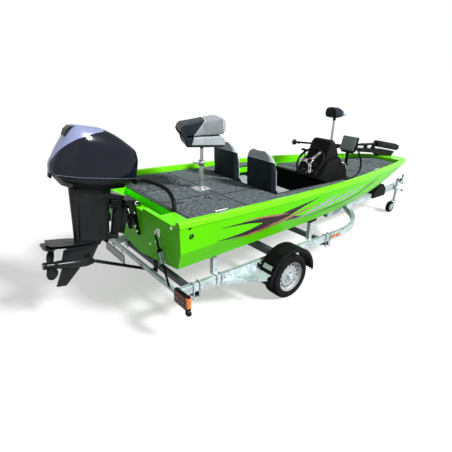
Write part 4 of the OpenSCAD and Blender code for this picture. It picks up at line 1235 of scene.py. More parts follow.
@dataclass
class Cushion(Assembly):
    """A cushion that takes the place of a CAD node: swollen by a cloth simulation, panelled and piped."""

    nodes: tuple[str, ...] = ()
    place: Matrix = BOAT
    base: Finish = VINYL_DARK
    panels: tuple[Panel, ...] = ()
    cuts: tuple[Cut, ...] = ()
    voxel: float = 0.008
    pressure: float = 4.0
    inset: float = 0.008
    crown: float = 0.011
    stiffness: float = 25
    last_frame: int = 20
    piping: Finish | None = None
    pipe_radius: float = 0.0035

    def build(self) -> None:
        """Builds the cushion and its piping."""
        name = self.nodes[0] + "_cushion"
        body = self.plump(name)
        self.panel(body)
        body.data.shade_smooth()
        self.add(body)
        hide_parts(*self.nodes)
        if self.piping:
            self.pipe(body, name.replace("_cushion", "_piping"))
        self.report()

    def plump(self, name: str) -> Piece:
        """Copies the CAD node's form, rounds it and swells it.

        Args:
            name: Name of the new piece.

        Returns:
            The cushion's body.
        """
        copies = []
        for node in self.nodes:
            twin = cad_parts[node].copy()
            twin.data = twin.data.copy()
            twin.parent = None
            twin.matrix_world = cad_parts[node].matrix_world.copy()
            twin.modifiers.clear()
            bpy.context.scene.collection.objects.link(twin)
            copies.append(twin)
        body = join(name, copies)
        remesh = body.modifiers.new("remesh", "REMESH")
        remesh.mode = "VOXEL"
        remesh.voxel_size = self.voxel
        inset = body.modifiers.new("inset", "DISPLACE")
        inset.strength = -self.inset
        inset.mid_level = 0
        relax = body.modifiers.new("relax", "SMOOTH")
        relax.factor = 0.5
        relax.iterations = 10
        self.apply(body)
        self.swell(body)
        return body

    def apply(self, body: Piece) -> None:
        """Makes the modified shape the piece's own mesh."""
        bpy.context.view_layer.update()
        data = bpy.data.meshes.new_from_object(body.evaluated_get(bpy.context.evaluated_depsgraph_get()))
        body.modifiers.clear()
        body.data = data

    def swell(self, body: Piece) -> None:
        """Blows the cover up over its filling for a moment of simulated time."""
        scene = bpy.context.scene
        cloth = body.modifiers.new("cloth", "CLOTH")
        settings = cloth.settings
        settings.quality = 5
        settings.use_pressure = True
        settings.uniform_pressure_force = self.pressure
        settings.effector_weights.gravity = 0
        settings.tension_stiffness = settings.compression_stiffness = self.stiffness
        settings.shear_stiffness = 10
        settings.bending_stiffness = 1
        cloth.collision_settings.use_collision = False
        cloth.point_cache.frame_start, cloth.point_cache.frame_end = 1, self.last_frame
        flat = [v.co.copy() for v in body.data.vertices]
        for step in range(1, self.last_frame + 1):
            scene.frame_set(step)
        self.apply(body)
        scene.frame_set(1)
        moved = [v.co - old for v, old in zip(body.data.vertices, flat)]
        share = min(1.0, self.crown / max(m.length for m in moved))
        for vertex, old, move in zip(body.data.vertices, flat, moved):
            vertex.co = old + move * share

    def panel(self, body: Piece) -> None:
        """Cuts the cover along its seams and gives each field its finish."""
        body.data.materials.clear()
        finishes = [self.base, *(p.finish for p in self.panels)]
        for finish in dict.fromkeys(finishes):
            body.data.materials.append(finish.build())
        order = list(dict.fromkeys(finishes))
        back = self.place.inverted()
        mesh = bmesh.new()
        mesh.from_mesh(body.data)
        for cut in self.cuts:
            bmesh.ops.bisect_plane(mesh, geom=mesh.verts[:] + mesh.edges[:] + mesh.faces[:],
                                   plane_co=self.place @ Vector(cut.at),
                                   plane_no=self.place.to_3x3() @ Vector(cut.way), dist=0.0002)
        for face in mesh.faces:
            middle = back @ face.calc_center_median()
            face.material_index = 0
            for p in self.panels:
                if p.holds(middle):
                    face.material_index = order.index(p.finish)
        mesh.to_mesh(body.data)
        mesh.free()

    def pipe(self, body: Piece, name: str) -> None:
        """Lays piping along the seams between two finishes."""
        mesh = bmesh.new()
        mesh.from_mesh(body.data)
        seams = [e for e in mesh.edges if len(e.link_faces) == 2
                 and e.link_faces[0].material_index != e.link_faces[1].material_index]
        chains: list[list[Vector]] = []
        left = set(seams)
        while left:
            edge = left.pop()
            chain = [edge.verts[0], edge.verts[1]]
            for end in (0, -1):
                while True:
                    step = next((e for e in chain[end].link_edges if e in left), None)
                    if step is None:
                        break
                    left.discard(step)
                    other = step.other_vert(chain[end])
                    chain.insert(0, other) if end == 0 else chain.append(other)
            chains.append([v.co.copy() for v in chain])
        mesh.free()
        runs = [tube("run", c[::2] if len(c) > 6 else c, self.pipe_radius, self.piping, sides=8, steps=1)
                for c in chains if len(c) > 8]
        if runs:
            self.add(join(name, runs))


def cockpit_back(side: str, y: float) -> Cushion:
    """Describes one folding backrest of the cockpit.

    Args:
        side: Name of the side.
        y: Its middle across the boat.

    Returns:
        The cushion, not built yet.
    """
    seam_x, seam_z, slant = 1.48, 0.925, 0.3
    front_x, front_z, lean = 1.545, 0.7, 0.06
    return Cushion(
        body=f"{side}_backrest", nodes=(f"seat_back_{side}",), place=BOAT @ shift(0, y, 0), base=VINYL_DARK,
        cuts=(Cut((seam_x, 0, seam_z), (slant, 0, 1)), Cut((front_x, 0, front_z), (1, 0, lean))),
        panels=(Panel(VINYL_GREY, lambda p: p.x > front_x - lean * (p.z - front_z)),
                Panel(VINYL_LIGHT, lambda p: p.z > seam_z - slant * (p.x - seam_x))),
        piping=WHITE_TRIM, pipe_radius=0.003)


def cockpit_bases() -> Cushion:
    """Describes the two seat bases of the cockpit: dark plinth, light cushion, grey front."""
    plinth_z, front_x = 0.396, 1.76
    return Cushion(nodes=("seat_bases",), base=VINYL_LIGHT, inset=0.006,
                   cuts=(Cut((0, 0, plinth_z), (0, 0, 1)), Cut((front_x, 0, 0.45), (1, 0, 0))),
                   panels=(Panel(BLACK_PLASTIC, lambda p: p.z < plinth_z),
                           Panel(VINYL_GREY, lambda p: p.z > plinth_z and p.x > front_x)))


def pedestal_seats() -> list[Cushion]:
    """Describes the folded seat on the aft post and the saddle on the bow post."""
    turn = -24
    seat = BOAT @ shift(AFT_POST_X, 0, AFT_SEAT_Z) @ turned(turn, "Z")
    saddle = BOAT @ shift(BOW_POST_X, 0, BOW_SADDLE_Z)
    cover_x, cover_z, slant, half_wide = -0.135, 0.03, 0.3, 0.206
    base = Cushion(body="aft_seat", nodes=("aft_seat_base",), place=seat, base=VINYL_DARK, inset=0.004,
                   cuts=(Cut((cover_x, 0, 0.05), (1, 0, -slant)), Cut((0, 0, cover_z), (0, 0, 1))),
                   panels=(Panel(VINYL_LIGHT, lambda p: p.x - slant * (p.z - 0.05) > cover_x and p.z > cover_z
                                 and abs(p.y) < half_wide),))
    back = Cushion(body="aft_seat_backrest", nodes=("aft_seat_back",), place=seat, base=VINYL_DARK,
                   inset=0.004,
                   cuts=(Cut((-0.02, 0, 0.25), (0.80, 0, -0.6)), Cut((0.19, 0, 0.2), (1, 0, 0.1)),
                         Cut((0, 0, 0.150), (-0.10, 0, 1))),
                   panels=(Panel(VINYL_GREY, lambda p: 0.8 * (p.x + 0.02) - 0.6 * (p.z - 0.25) > 0),
                           Panel(VINYL_LIGHT, lambda p: p.x + 0.1 * (p.z - 0.2) > 0.19)),
                   piping=WHITE_TRIM, pipe_radius=0.004)
    bow = Cushion(body="bow_seat", nodes=("bow_saddle",), place=saddle, base=VINYL_DARK, voxel=0.006,
                  inset=0.003, cuts=(Cut((0.12, 0, 0.08), (1, 0, -0.25)),),
                  panels=(Panel(VINYL_LIGHT, lambda p: p.x - 0.25 * (p.z - 0.08) > 0.12),))
    return [base, back, bow]


def seats() -> list[Cushion]:
    """Lists the boat's cushions with their colour fields.

    Returns:
        The cushions, not built yet.
    """
    backs = [cockpit_back("starboard", HELM_SEAT_Y), cockpit_back("port", MATE_SEAT_Y)]
    return [*backs, cockpit_bases(), *pedestal_seats()]


@dataclass
class SeatFittings(Assembly):
    """Buttons, brackets, levers and base bolts of the seats."""

    def build(self) -> None:
        """Builds the fittings of all the seats."""
        posts = []
        for x, y, z, tall in ((AFT_POST_X, 0, AFT_DECK_Z, 0.300), (BOW_POST_X, 0, FRONT_DECK_Z, 0.380)):
            here = BOAT @ shift(x, y, z)
            for a, b in ((-1, -1), (-1, 1), (1, 1), (1, -1)):
                posts.append(bolt((a * 0.068, b * 0.068, 0.006), (0, 0, 1), 0.008, here, CHROME))
            posts.append(lathe("flange", ((0.060, 0.006), (0.058, 0.010), (0.034, 0.014), (0.0285, 0.030)),
                               ALUMINIUM, here))
            posts.append(lathe("collar",
                               ((0.0275, tall - 0.03), (0.031, tall - 0.028), (0.031, tall - 0.002),
                                (0.0275, tall + 0.002), (0.0195, tall + 0.002)), BLACK_PLASTIC, here))
        self.add(join("pedestal_fittings", posts))
        lever = BOAT @ shift(AFT_POST_X, 0, AFT_DECK_Z)
        self.add(join("pedestal_lever",
                      [prism("wing",
                             ((-0.030, 0.285), (-0.105, 0.296), (-0.118, 0.318), (-0.100, 0.322),
                              (-0.030, 0.305)), -0.011, 0.011, ALUMINIUM, lever, "y", 0.004),
                       lathe("boss", ((0, 0.27), (0.034, 0.27), (0.034, 0.33), (0, 0.33)), ALUMINIUM, lever,
                             32)]))
        for side, y in (("starboard", HELM_SEAT_Y), ("port", MATE_SEAT_Y)):
            here = BOAT @ shift(0, y, 0)
            turn = shift(1.4385, 0, 0.985) @ turned(-86, "Y")
            parts = [lathe("button", ((0.011, -0.002), (0.010, 0.002), (0.006, 0.005), (0, 0.006)),
                           VINYL_GREY, here @ turn, 20)]
            for s in SIDES:
                parts.append(prism("arm",
                                   ((1.520, 0.47), (1.585, 0.46), (1.600, 0.50), (1.585, 0.54),
                                    (1.545, 0.60), (1.525, 0.60)), s * 0.236, s * 0.246, BLACK_PAINT, here,
                                   "y", 0.002))
            self.add(join(f"{side}_back_fittings", parts), f"{side}_backrest")
        self.report()


@dataclass
class Helm(Assembly):
    """Controls: spokes and hub of the wheel, gauges, switches, throttle and grab rails."""

    y: float = CONSOLE_Y
    lean: float = 35.0
    hub_at: tuple[float, float] = (2.3765, 0.7761)
    column: float = 0.080
    rim: float = 0.186

    def shaft(self) -> Matrix:
        """Gives the frame of the steering shaft, with z out of the dash towards the helm."""
        return BOAT @ shift(self.hub_at[0], self.y, self.hub_at[1]) @ turned(self.lean - 90, "Y")

    def build(self) -> None:
        """Builds the wheel's dress, the dash and the rails."""
        self.wheel()
        self.dash()
        self.throttle()
        self.rails()
        self.report()

    def wheel(self) -> None:
        """Dresses the wheel with bright spokes, a ringed hub and a banded grip."""
        here = self.shaft() @ shift(0, 0, self.column)
        parts = []
        for i in range(3):
            turn = here @ turned(90 + 120 * i, "Z")
            parts.append(prism("spoke", ((0.036, -0.017), (0.060, -0.021), (0.100, -0.0155), (0.172, -0.0155),
                                         (0.172, 0.0155), (0.100, 0.0155), (0.060, 0.021), (0.036, 0.017)),
                               -0.0055, 0.0065, ALUMINIUM, turn, "z", 0.002))
            parts.append(prism("slot", ((0.075, -0.008), (0.135, -0.006), (0.135, 0.006), (0.075, 0.008)),
                               0.0064, 0.0074, BLACK_PLASTIC, turn, "z", 0.0004))
        parts.append(lathe("hub_cap", ((0.0435, -0.009), (0.0435, 0.006), (0.041, 0.011), (0.034, 0.013)),
                           CHROME, here))
        parts.append(lathe("hub_pad", ((0.034, 0.012), (0.030, 0.015), (0.018, 0.017), (0, 0.0175)),
                           BLACK_PLASTIC, here))
        for i in range(12):
            turn = here @ turned(15 + 30 * i, "Z") @ shift(self.rim, 0, 0)
            bump = turn @ turned(90, "X")
            parts.append(lathe("grip", ((0.0142, -0.010), (0.0150, -0.006), (0.0150, 0.006), (0.0142, 0.010)),
                               BLACK_PLASTIC, bump, 20))
        self.add(join("steering_wheel_dress", parts), "helm")

    def dash(self) -> None:
        """Sets the gauges, the switch row and the shaft's bezel in the dash."""
        here = self.shaft()
        parts = [lathe("bezel",
                       ((0.062, 0.0005), (0.060, 0.008), (0.030, 0.012), (0.018, 0.026), (0.0122, 0.03)),
                       BLACK_PLASTIC, here)]
        for dy in (-0.085, 0.0, 0.085):
            place = here @ shift(0.112, dy, 0.0005)
            parts.append(lathe("dial_rim", ((0.030, 0), (0.038, 0.003), (0.037, 0.007), (0.032, 0.006)),
                               CHROME, place, 40))
            parts.append(lathe("dial", ((0.032, 0.004), (0, 0.004)), WHITE_TRIM, place, 32))
            parts.append(block("needle", (0.008, 0, 0.0055), (0.024, 0.002, 0.001), LENS_RED, place, 0.0003))
        for i in range(4):
            parts.append(block("switch", (-0.10, -0.105 + 0.07 * i, 0.004), (0.030, 0.018, 0.010),
                               BLACK_GLOSS, here, 0.002))
            parts.append(block("switch_edge", (-0.10, -0.105 + 0.07 * i, 0.001), (0.038, 0.026, 0.002),
                               CHROME, here, 0.001))
        self.add(join("dash_fittings", parts))
        face = BOAT @ shift(2.4835, self.y, 0.985) @ turned(-90, "Y")
        screen = [block("display_frame", (0.0, 0, 0.003), (0.066, 0.17, 0.006), BLACK_GLOSS, face, 0.004),
                  block("display", (0.0, 0, 0.006), (0.052, 0.145, 0.0015), DISPLAY, face, 0.0008)]
        self.add(join("dash_display", screen))

    def throttle(self) -> None:
        """Adds the control lever with its grip on the side box."""
        at = BOAT @ shift(2.570, -0.088, 0.745)
        plate = at @ turned(-90, "X")
        parts = [lathe("throttle_plate", ((0, 0.006), (0.036, 0.006), (0.040, 0.002), (0.042, -0.001)),
                       BLACK_GLOSS, plate),
                 lathe("throttle_boss", ((0, 0.020), (0.016, 0.020), (0.018, 0.006)), CHROME, plate, 32),
                 tube("throttle_arm", ((0, 0.016, 0), (-0.02, 0.018, 0.07), (-0.055, 0.012, 0.15)), 0.007,
                      CHROME, at),
                 tube("throttle_grip",
                      ((-0.052, -0.030, 0.155), (-0.057, 0.010, 0.160), (-0.057, 0.048, 0.160)), 0.015,
                      BLACK_PLASTIC, at, 16)]
        self.add(join("throttle", parts))

    def rails(self) -> None:
        """Adds the bright grab loops at the console's sides."""
        parts = []
        for y in (self.y - 0.207, self.y + 0.207):
            out = 0.03 if y > self.y else -0.03
            parts.append(tube("grab",
                              ((2.66, y - out * 0.2, 0.800), (2.66, y + out, 0.815), (2.72, y + out, 0.790),
                               (2.775, y + out, 0.700), (2.775, y - out * 0.2, 0.680)), 0.0075, CHROME,
                              BOAT, 12))
        self.add(join("grab_rails", parts))


@dataclass
class Electronics(Assembly):
    """Cover, knobs and conduit of the fishfinder, and the trim of the console's arm."""

    y: float = -0.405
    wide: float = 0.210
    tall: float = 0.195

    def build(self) -> None:
        """Builds the cover, the bracket's knobs, the conduit and the arm's trim."""
        here = BOAT @ shift(2.990, self.y, 0.905) @ turned(14, "Y")
        h, w = self.tall, self.wide / 2
        outline = ((-w + 0.012, 0.004), (w - 0.012, 0.004), (w, 0.02), (w, h - 0.018), (w - 0.014, h),
                   (-w + 0.014, h), (-w, h - 0.018), (-w, 0.02))
        inner = tuple((y * 0.86, (z - h / 2) * 0.84 + h / 2) for y, z in outline)
        parts = [prism("cover", outline, -0.006, 0.026, GREY_PLASTIC, here, "x", 0.006),
                 prism("cover_panel", inner, -0.009, -0.005, GREY_PLASTIC, here, "x", 0.003),
                 prism("cover_groove", tuple((y * 1.03, (z - h / 2) * 1.03 + h / 2) for y, z in inner),
                       -0.0068, -0.0055, BLACK_PLASTIC, here, "x", 0.0004)]
        self.add(join("display_cover", parts))
        knobs = []
        for s in SIDES:
            turn = here @ Matrix.Translation((0.036, s * (w + 0.0005), 0.05)) @ turned(-90 * s, "X")
            knobs.append(lathe("knob",
                               ((0, 0.022), (0.017, 0.022), (0.019, 0.018), (0.018, 0.004), (0.010, 0)),
                               BLACK_PLASTIC, turn, 12))
        self.add(join("display_knobs", knobs))
        self.conduit()
        ball = BOAT @ shift(2.415, 0.025, 0.997)
        self.add(join("arm_ball_trim", [
            lathe("ball_band", ((0.0355, -0.006), (0.0368, -0.004), (0.0368, 0.004), (0.0355, 0.006)), CHROME,
                  ball @ turned(70, "X"), 40),
            lathe("collar", ((0.0125, -0.012), (0.018, -0.010), (0.018, 0.010), (0.0125, 0.012)), BLACK_GLOSS,
                  ball @ shift(0.022, -0.060, 0.001) @ turned(70, "X"), 24)]))
        self.report()

    def conduit(self) -> None:
        """Runs the wiring conduit from the display's back in a loop down to the deck."""
        local = [(3.030, -0.420, 1.010), (3.085, -0.440, 0.985), (3.165, -0.475, 0.900),
                 (3.215, -0.505, 0.790), (3.225, -0.520, 0.690), (3.180, -0.530, 0.605),
                 (3.080, -0.530, 0.556), (2.960, -0.520, 0.541), (2.890, -0.505, 0.5375),
                 (2.855, -0.495, 0.560)]
        path = smooth_line([BOAT @ Vector(p) for p in local], 4)
        hose = self.add(tube("wiring_conduit", path, 0.0125, HOSE, sides=14, steps=1))


@dataclass
class BowMotor(Assembly):
    """Trim of the electric bow motor: seam, clamp rings, knobs, cheeks and tie."""

    def build(self) -> None:
        """Builds the motor's trim in its own slanted frame."""
        here = BOAT @ shift(4.750, 0.165, 0) @ turned(-12, "Z")
        parts = [block("seam", (0.10, 0, 0.7805), (0.30, 0.106, 0.003), BLACK_GLOSS,
                       here @ shift(0.1, 0, 0.78) @ turned(9.6, "Y") @ shift(-0.1, 0, -0.78), 0.001)]
        for x in (-0.86, -0.62, -0.36):
            turn = here @ shift(x, 0, 0.772) @ turned(90, "Y")
            parts.append(lathe("clamp_ring",
                               ((0.0199, -0.012), (0.026, -0.010), (0.026, 0.010), (0.0199, 0.012)),
                               BLACK_GLOSS, turn, 28))
        for s in SIDES:
            for x in (-0.277, -0.097):
                turn = here @ shift(x, s * 0.0245, 0.70) @ turned(-90 * s, "X")
                parts.append(lathe("knob",
                                   ((0, 0.020), (0.014, 0.020), (0.016, 0.016), (0.014, 0.003), (0.008, 0)),
                                   BLACK_PLASTIC, turn, 10))
            parts.append(prism("cheek",
                               ((0.02, 0.76), (0.03, 0.80), (0.33, 0.752), (0.40, 0.715), (0.30, 0.722)),
                               s * 0.050, s * 0.0545, BLACK_GLOSS, here, "y", 0.003))
        self.add(join("bow_motor_trim", parts))
        strap = [prism("tie", ((-0.505, 0.700), (-0.505, 0.797), (-0.480, 0.797), (-0.480, 0.700)), -0.030,
                       -0.027, WEBBING, here, "y", 0.0008)]
        self.add(join("bow_motor_tie", strap))
        self.report()


@dataclass
class RoadWheel(Assembly):
    """One road wheel: treaded tyre, slotted rim, hub, bolts and cap."""

    side: Side = Side.STARBOARD
    seat: float = 0.178
    slots: int = 14
    slot_at: float = 0.1335
    slot_radius: float = 0.0165
    bolts: int = 5
    bolt_at: float = 0.049
    face: float = 0.060
    steps: int = 176

    def frame(self) -> Matrix:
        """Gives the wheel's frame, with z outwards along the axle."""
        return wheel_place(self.side.value)

    def build(self) -> None:
        """Builds the tyre and the rim in place of the CAD ones."""
        name = self.side.name.lower()
        self.body = f"{name}_wheel"
        self.tyre(name)
        self.rim(name)
        self.report()

    def tyre(self, name: str) -> None:
        """Builds the tyre with its grooves, shoulder cuts and bead."""
        half = [(self.seat + 0.0002, 0.080), (0.180, 0.0885), (0.186, 0.0905), (0.190, 0.0895),
                (0.196, 0.0925), (0.212, 0.0945), (0.228, 0.0946), (0.231, 0.0938), (0.233, 0.0945),
                (0.244, 0.0920), (0.2525, 0.0860), (0.2585, 0.0780), (0.2612, 0.0700), (0.2618, 0.0520),
                (0.2618, 0.0505), (0.2550, 0.0490), (0.2550, 0.0415), (0.2622, 0.0400), (0.2623, 0.0190),
                (0.2555, 0.0175), (0.2555, 0.0105), (0.2623, 0.0090), (0.2623, 0.0)]
        profile = [(r, -h) for r, h in half] + [(r, h) for r, h in reversed(half[:-1])]
        verts, faces, n = [], [], len(profile)
        for k in range(self.steps):
            a = 2 * math.pi * k / self.steps
            for i, (r, h) in enumerate(profile):
                cut = 0.0
                if abs(h) > 0.0505 and r > 0.250:
                    cut = 0.0045 if k % 4 == 0 else 0
                elif abs(h) < 0.0401 and r > 0.26:
                    cut = 0.003 if (k + (2 if h > 0 else 0)) % 8 == 0 and abs(h) > 0.0185 else 0
                verts.append(((r - cut) * math.cos(a), (r - cut) * math.sin(a), h))
        for k in range(self.steps):
            for i in range(n - 1):
                b, c = k * n, ((k + 1) % self.steps) * n
                faces.append((b + i, c + i, c + i + 1, b + i + 1))
        tyre = mesh_object(f"tyre_{name}_treaded", verts, faces, TYRE, self.frame())
        tidy_mesh(tyre)
        tyre.data.set_sharp_from_angle(angle=math.radians(38))
        self.add(tyre)
        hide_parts(f"tyre_{name}")

    def rim(self, name: str) -> None:
        """Builds the rim with its slots, a black ring of painted shade behind them, the hub, the bolts and
        the cap.
        """
        here = self.frame()
        profile = ((self.seat - 0.0004, -0.084), (self.seat - 0.0004, 0.083), (0.1735, 0.0848),
                   (0.1700, 0.0830), (0.1680, 0.076), (0.1640, 0.066), (0.1600, 0.056), (0.1530, 0.050),
                   (0.1450, 0.0485), (0.1300, 0.0505), (0.1160, 0.0550), (0.1060, 0.0575), (0.0960, 0.0540),
                   (0.0860, 0.0525), (0.0780, 0.0560), (0.0700, 0.0600), (0.0480, 0.0600), (0.0300, 0.0600),
                   (0.0205, 0.0600), (0.0205, 0.0120), (0.0600, 0.0120), (0.0800, 0.0420), (0.1160, 0.0440),
                   (0.1400, 0.0400), (0.1500, 0.0380), (0.1580, -0.0840))
        body = lathe("rim", profile, RIM_PAINT, here, 112, close=True)
        holes = []
        for i in range(self.slots):
            a = 2 * math.pi * (i + 0.5) / self.slots
            at = here @ Matrix.Rotation(a, 4, "Z") @ shift(self.slot_at, 0, 0.020)
            at = at @ Matrix.Diagonal((0.92, 1.12, 1, 1))
            holes.append(lathe("hole", ((0, 0), (self.slot_radius, 0), (self.slot_radius, 0.06), (0, 0.06)),
                               RIM_PAINT, at, 20))
        cutter = join("slot_cutter", holes)
        cut = body.modifiers.new("slots", "BOOLEAN")
        cut.operation = "DIFFERENCE"
        cut.object = cutter
        cut.solver = "EXACT"
        bpy.context.view_layer.update()
        parts = [join("rim_cut", [body])]
        bpy.data.objects.remove(cutter)
        parts[0].data.shade_smooth()
        parts[0].data.set_sharp_from_angle(angle=math.radians(40))
        # Painted shade: a black ring behind the slots stands in for the shade inside the wheel's barrel and
        # is no real part of the wheel.
        parts.append(lathe("barrel_shade_ring",
                           ((0.0860, 0.034), (0.1500, 0.030), (0.1500, 0.026), (0.0860, 0.030)),
                           BLACK_PAINT, here, 64, close=True))
        for i in range(self.bolts):
            a = 2 * math.pi * i / self.bolts
            at = here @ Matrix.Rotation(a, 4, "Z") @ shift(self.bolt_at, 0, self.face)
            parts.append(lathe("seat", ((0.0150, 0), (0.0140, 0.0025), (0, 0.0025)), RIM_PAINT, at, 20))
            parts.append(lathe("nut", ((0.0095, 0.002), (0.0095, 0.014), (0.0070, 0.0165), (0, 0.0165)),
                               CHROME, at, 6))
        parts.append(lathe("hub_cap",
                           ((0.0320, 0.0602), (0.0310, 0.078), (0.0270, 0.0835), (0.0120, 0.0865),
                            (0, 0.0868)), ZINC, here, 40))
        at = here @ Matrix.Rotation(0.6, 4, "Z") @ shift(0.1560, 0, 0.052) @ Matrix.Rotation(0.5, 4, "Y")
        parts.append(lathe("valve", ((0.004, 0), (0.0035, 0.028), (0.005, 0.030), (0.005, 0.038), (0, 0.039)),
                           BLACK_PLASTIC, at, 12))
        whole = self.add(join(f"rim_{name}_slotted", parts))
        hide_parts(f"rim_{name}")


@dataclass
class Chassis(Assembly):
    """Fittings of the trailer: U-bolts, bolts, guards' beads, plate, labels and reflectors."""

    rail_y: tuple[float, float] = (-0.765, -0.710)
    rail_z: tuple[float, float] = (0.385, 0.470)

    def build(self) -> None:
        """Builds the trailer's fastenings, plates and markers."""
        self.u_bolts()
        self.guards()
        self.plates()
        self.markers()
        self.report()

    def u_bolt(self, x: float, side: int, low: float) -> list[Piece]:
        """Clamps a member under a side rail.

        Args:
            x: Place along the trailer.
            side: Sign of the side.
            low: Height of the clamp's lower end.

        Returns:
            The pieces.
        """
        out, inner = (side * abs(v) for v in self.rail_y)
        top = self.rail_z[1] + 0.007
        o, i = out + side * 0.008, inner - side * 0.008
        parts = [tube("u_bolt",
                      ((x, o, low), (x, o, top - 0.012), (x, o - side * 0.012, top),
                       (x, i + side * 0.012, top), (x, i, top - 0.012), (x, i, low)), 0.006, ZINC, ROAD,
                      10)]
        for y in (o, i):
            parts.append(bolt((x, y, low + 0.010), (0, 0, -1), 0.010, ROAD, ZINC))
        return parts

    def u_bolts(self) -> None:
        """Clamps the cross members, the posts and the axle's mounts to the rails."""
        parts = []
        for side in SIDES:
            for x in (0.262, 0.338, 2.312, 2.388):
                parts += self.u_bolt(x, side, self.rail_z[0] - 0.075)
            for x in (0.548, 0.612):
                parts += self.u_bolt(x, side, self.rail_z[0] - 0.016)
            y = side * 0.7655
            for x in (0.66, 0.74, 1.50, 1.62, 2.02, 2.08):
                parts.append(bolt((x, y, 0.43), (0, side, 0), 0.011, ROAD, ZINC))
            for x in (0.536, 0.584, 2.026, 2.074):
                parts.append(bolt((x, side * 0.7152, 0.53), (0, side, 0), 0.008, ROAD, ZINC))
        self.add(join("u_bolts", parts))

    def guards(self) -> None:
        """Beads the mudguards' edges and bolts their stays."""
        parts = []
        for side in SIDES:
            here = wheel_place(side)
            for radius, h, thick in ((0.3515, 0.1045, 0.005), (0.3515, -0.1025, 0.005),
                                     (0.3525, 0.055, 0.003), (0.3525, -0.055, 0.003)):
                arc = [(radius * math.cos(a), radius * math.sin(a) * -side, h)
                       for a in (math.radians(2 + 176 * k / 40) for k in range(41))]
                parts.append(tube("guard_bead", arc, thick, BLACK_PLASTIC, here, 8, 1))
            for x in (1.128, 1.158, 1.728, 1.758):
                parts.append(bolt((x, side * 0.790, 0.4552), (0, 0, 1), 0.009, ROAD, ZINC))
        self.add(join("mudguard_beads", parts))

    def plates(self) -> None:
        """Adds the blank number plate and the blank labels."""
        x, y, z = 0.0580, 0.62, 0.336
        parts = [block("plate_base", (x, y, z), (0.003, 0.54, 0.124), BLACK_PLASTIC, ROAD, 0.0012),
                 block("plate", (x - 0.002, y, z), (0.002, 0.52, 0.110), WHITE_TRIM, ROAD, 0.0008)]
        for rise in (-0.051, 0.051):
            parts.append(block("plate_border", (x - 0.003, y, z + rise), (0.0012, 0.51, 0.003),
                               BLACK_PLASTIC, ROAD, 0.0004))
        for off in (-0.20, 0.0, 0.20):
            parts.append(block("hanger", (x + 0.0025, y + off, z + 0.065), (0.003, 0.030, 0.060), ZINC,
                               ROAD, 0.001))
        self.add(join("blank_plate", parts))
        labels, label_at = [], 0.3562
        for side in SIDES:
            for a in (math.radians(148), math.radians(35)):
                x, z = WHEEL_X + label_at * math.cos(a), WHEEL_Z + label_at * math.sin(a)
                turn = ROAD @ shift(x, side * WHEEL_Y, z) @ Matrix.Rotation(math.pi / 2 - a, 4, "Y")
                labels.append(block("label", (0, 0, 0), (0.05, 0.13, 0.0016), WHITE_TRIM, turn, 0.0006))
        self.add(join("blank_labels", labels))

    def markers(self) -> None:
        """Adds the side reflectors and the rails' end caps."""
        parts = []
        for side in SIDES:
            for x in (2.46, 2.56):
                parts.append(block("reflector", (x, side * 0.7675, 0.430), (0.075, 0.005, 0.032),
                                   LENS_AMBER, ROAD, 0.002))
                parts.append(block("reflector_base", (x, side * 0.7658, 0.430), (0.085, 0.003, 0.040),
                                   BLACK_PLASTIC, ROAD, 0.001))
            parts.append(block("end_cap", (0.0875, side * 0.7375, 0.4275), (0.005, 0.060, 0.090),
                               BLACK_PLASTIC, ROAD, 0.002))
        self.add(join("side_markers", parts))


@dataclass
class RearLamp(Assembly):
    """One rear lamp cluster: dark housing, ribbed red lens fields and amber end."""

    side: Side = Side.STARBOARD
    low: tuple[float, float, float] = (0.010, 0.800, 0.400)
    size: tuple[float, float, float] = (0.050, 0.230, 0.145)

    def box(self, name: str, span: tuple[float, float], rise: tuple[float, float], deep: tuple[float, float],
            finish: Finish, edge: float = 0.004) -> Piece:
        """Makes one field of the lamp.

        Args:
            name: Name of the piece.
            span: Start and end across, from the lamp's inner end.
            rise: Start and end in height.
            deep: Start and end in depth, from the lamp's rear face.
            finish: Its finish.
            edge: Rounding of its edges.

        Returns:
            The new piece.
        """
        x, y, z = self.low
        middle = (x + sum(deep) / 2, self.side.value * (y + sum(span) / 2), z + sum(rise) / 2)
        return block(name, middle, (deep[1] - deep[0], span[1] - span[0], rise[1] - rise[0]), finish, ROAD,
                     edge)

    def build(self) -> list[Piece]:
        """Builds the cluster.

        Returns:
            Its pieces.
        """
        wide, tall = self.size[1], self.size[2]
        parts = [self.box("housing", (0, wide - 0.004), (0, tall), (0.018, 0.050), BLACK_PLASTIC, 0.006),
                 self.box("bezel", (0.001, wide - 0.030), (0.002, tall - 0.002), (0.010, 0.020),
                          BLACK_GLOSS, 0.004),
                 self.box("lens_low", (0.008, wide - 0.038), (0.008, 0.046), (0.002, 0.014), LENS_RED),
                 self.box("lens_middle", (0.008, 0.098), (0.050, 0.094), (0.001, 0.014), LENS_RED),
                 self.box("lens_side", (0.101, wide - 0.038), (0.050, 0.094), (0.001, 0.014), LENS_DEEP),
                 self.box("lens_top", (0.008, wide - 0.038), (0.098, tall - 0.008), (0.002, 0.014),
                          LENS_RED),
                 self.box("amber_end", (wide - 0.034, wide), (0.030, tall - 0.010), (0.004, 0.046),
                          LENS_AMBER, 0.006),
                 self.box("end_base", (wide - 0.034, wide - 0.002), (0.004, 0.028), (0.006, 0.046),
                          BLACK_PLASTIC, 0.004)]
        for i in range(11):
            y = 0.016 + 0.0165 * i
            parts.append(self.box("rib", (y, y + 0.002), (0.010, tall - 0.010), (0.0006, 0.003), LENS_DEEP,
                                  0.0006))
        return parts


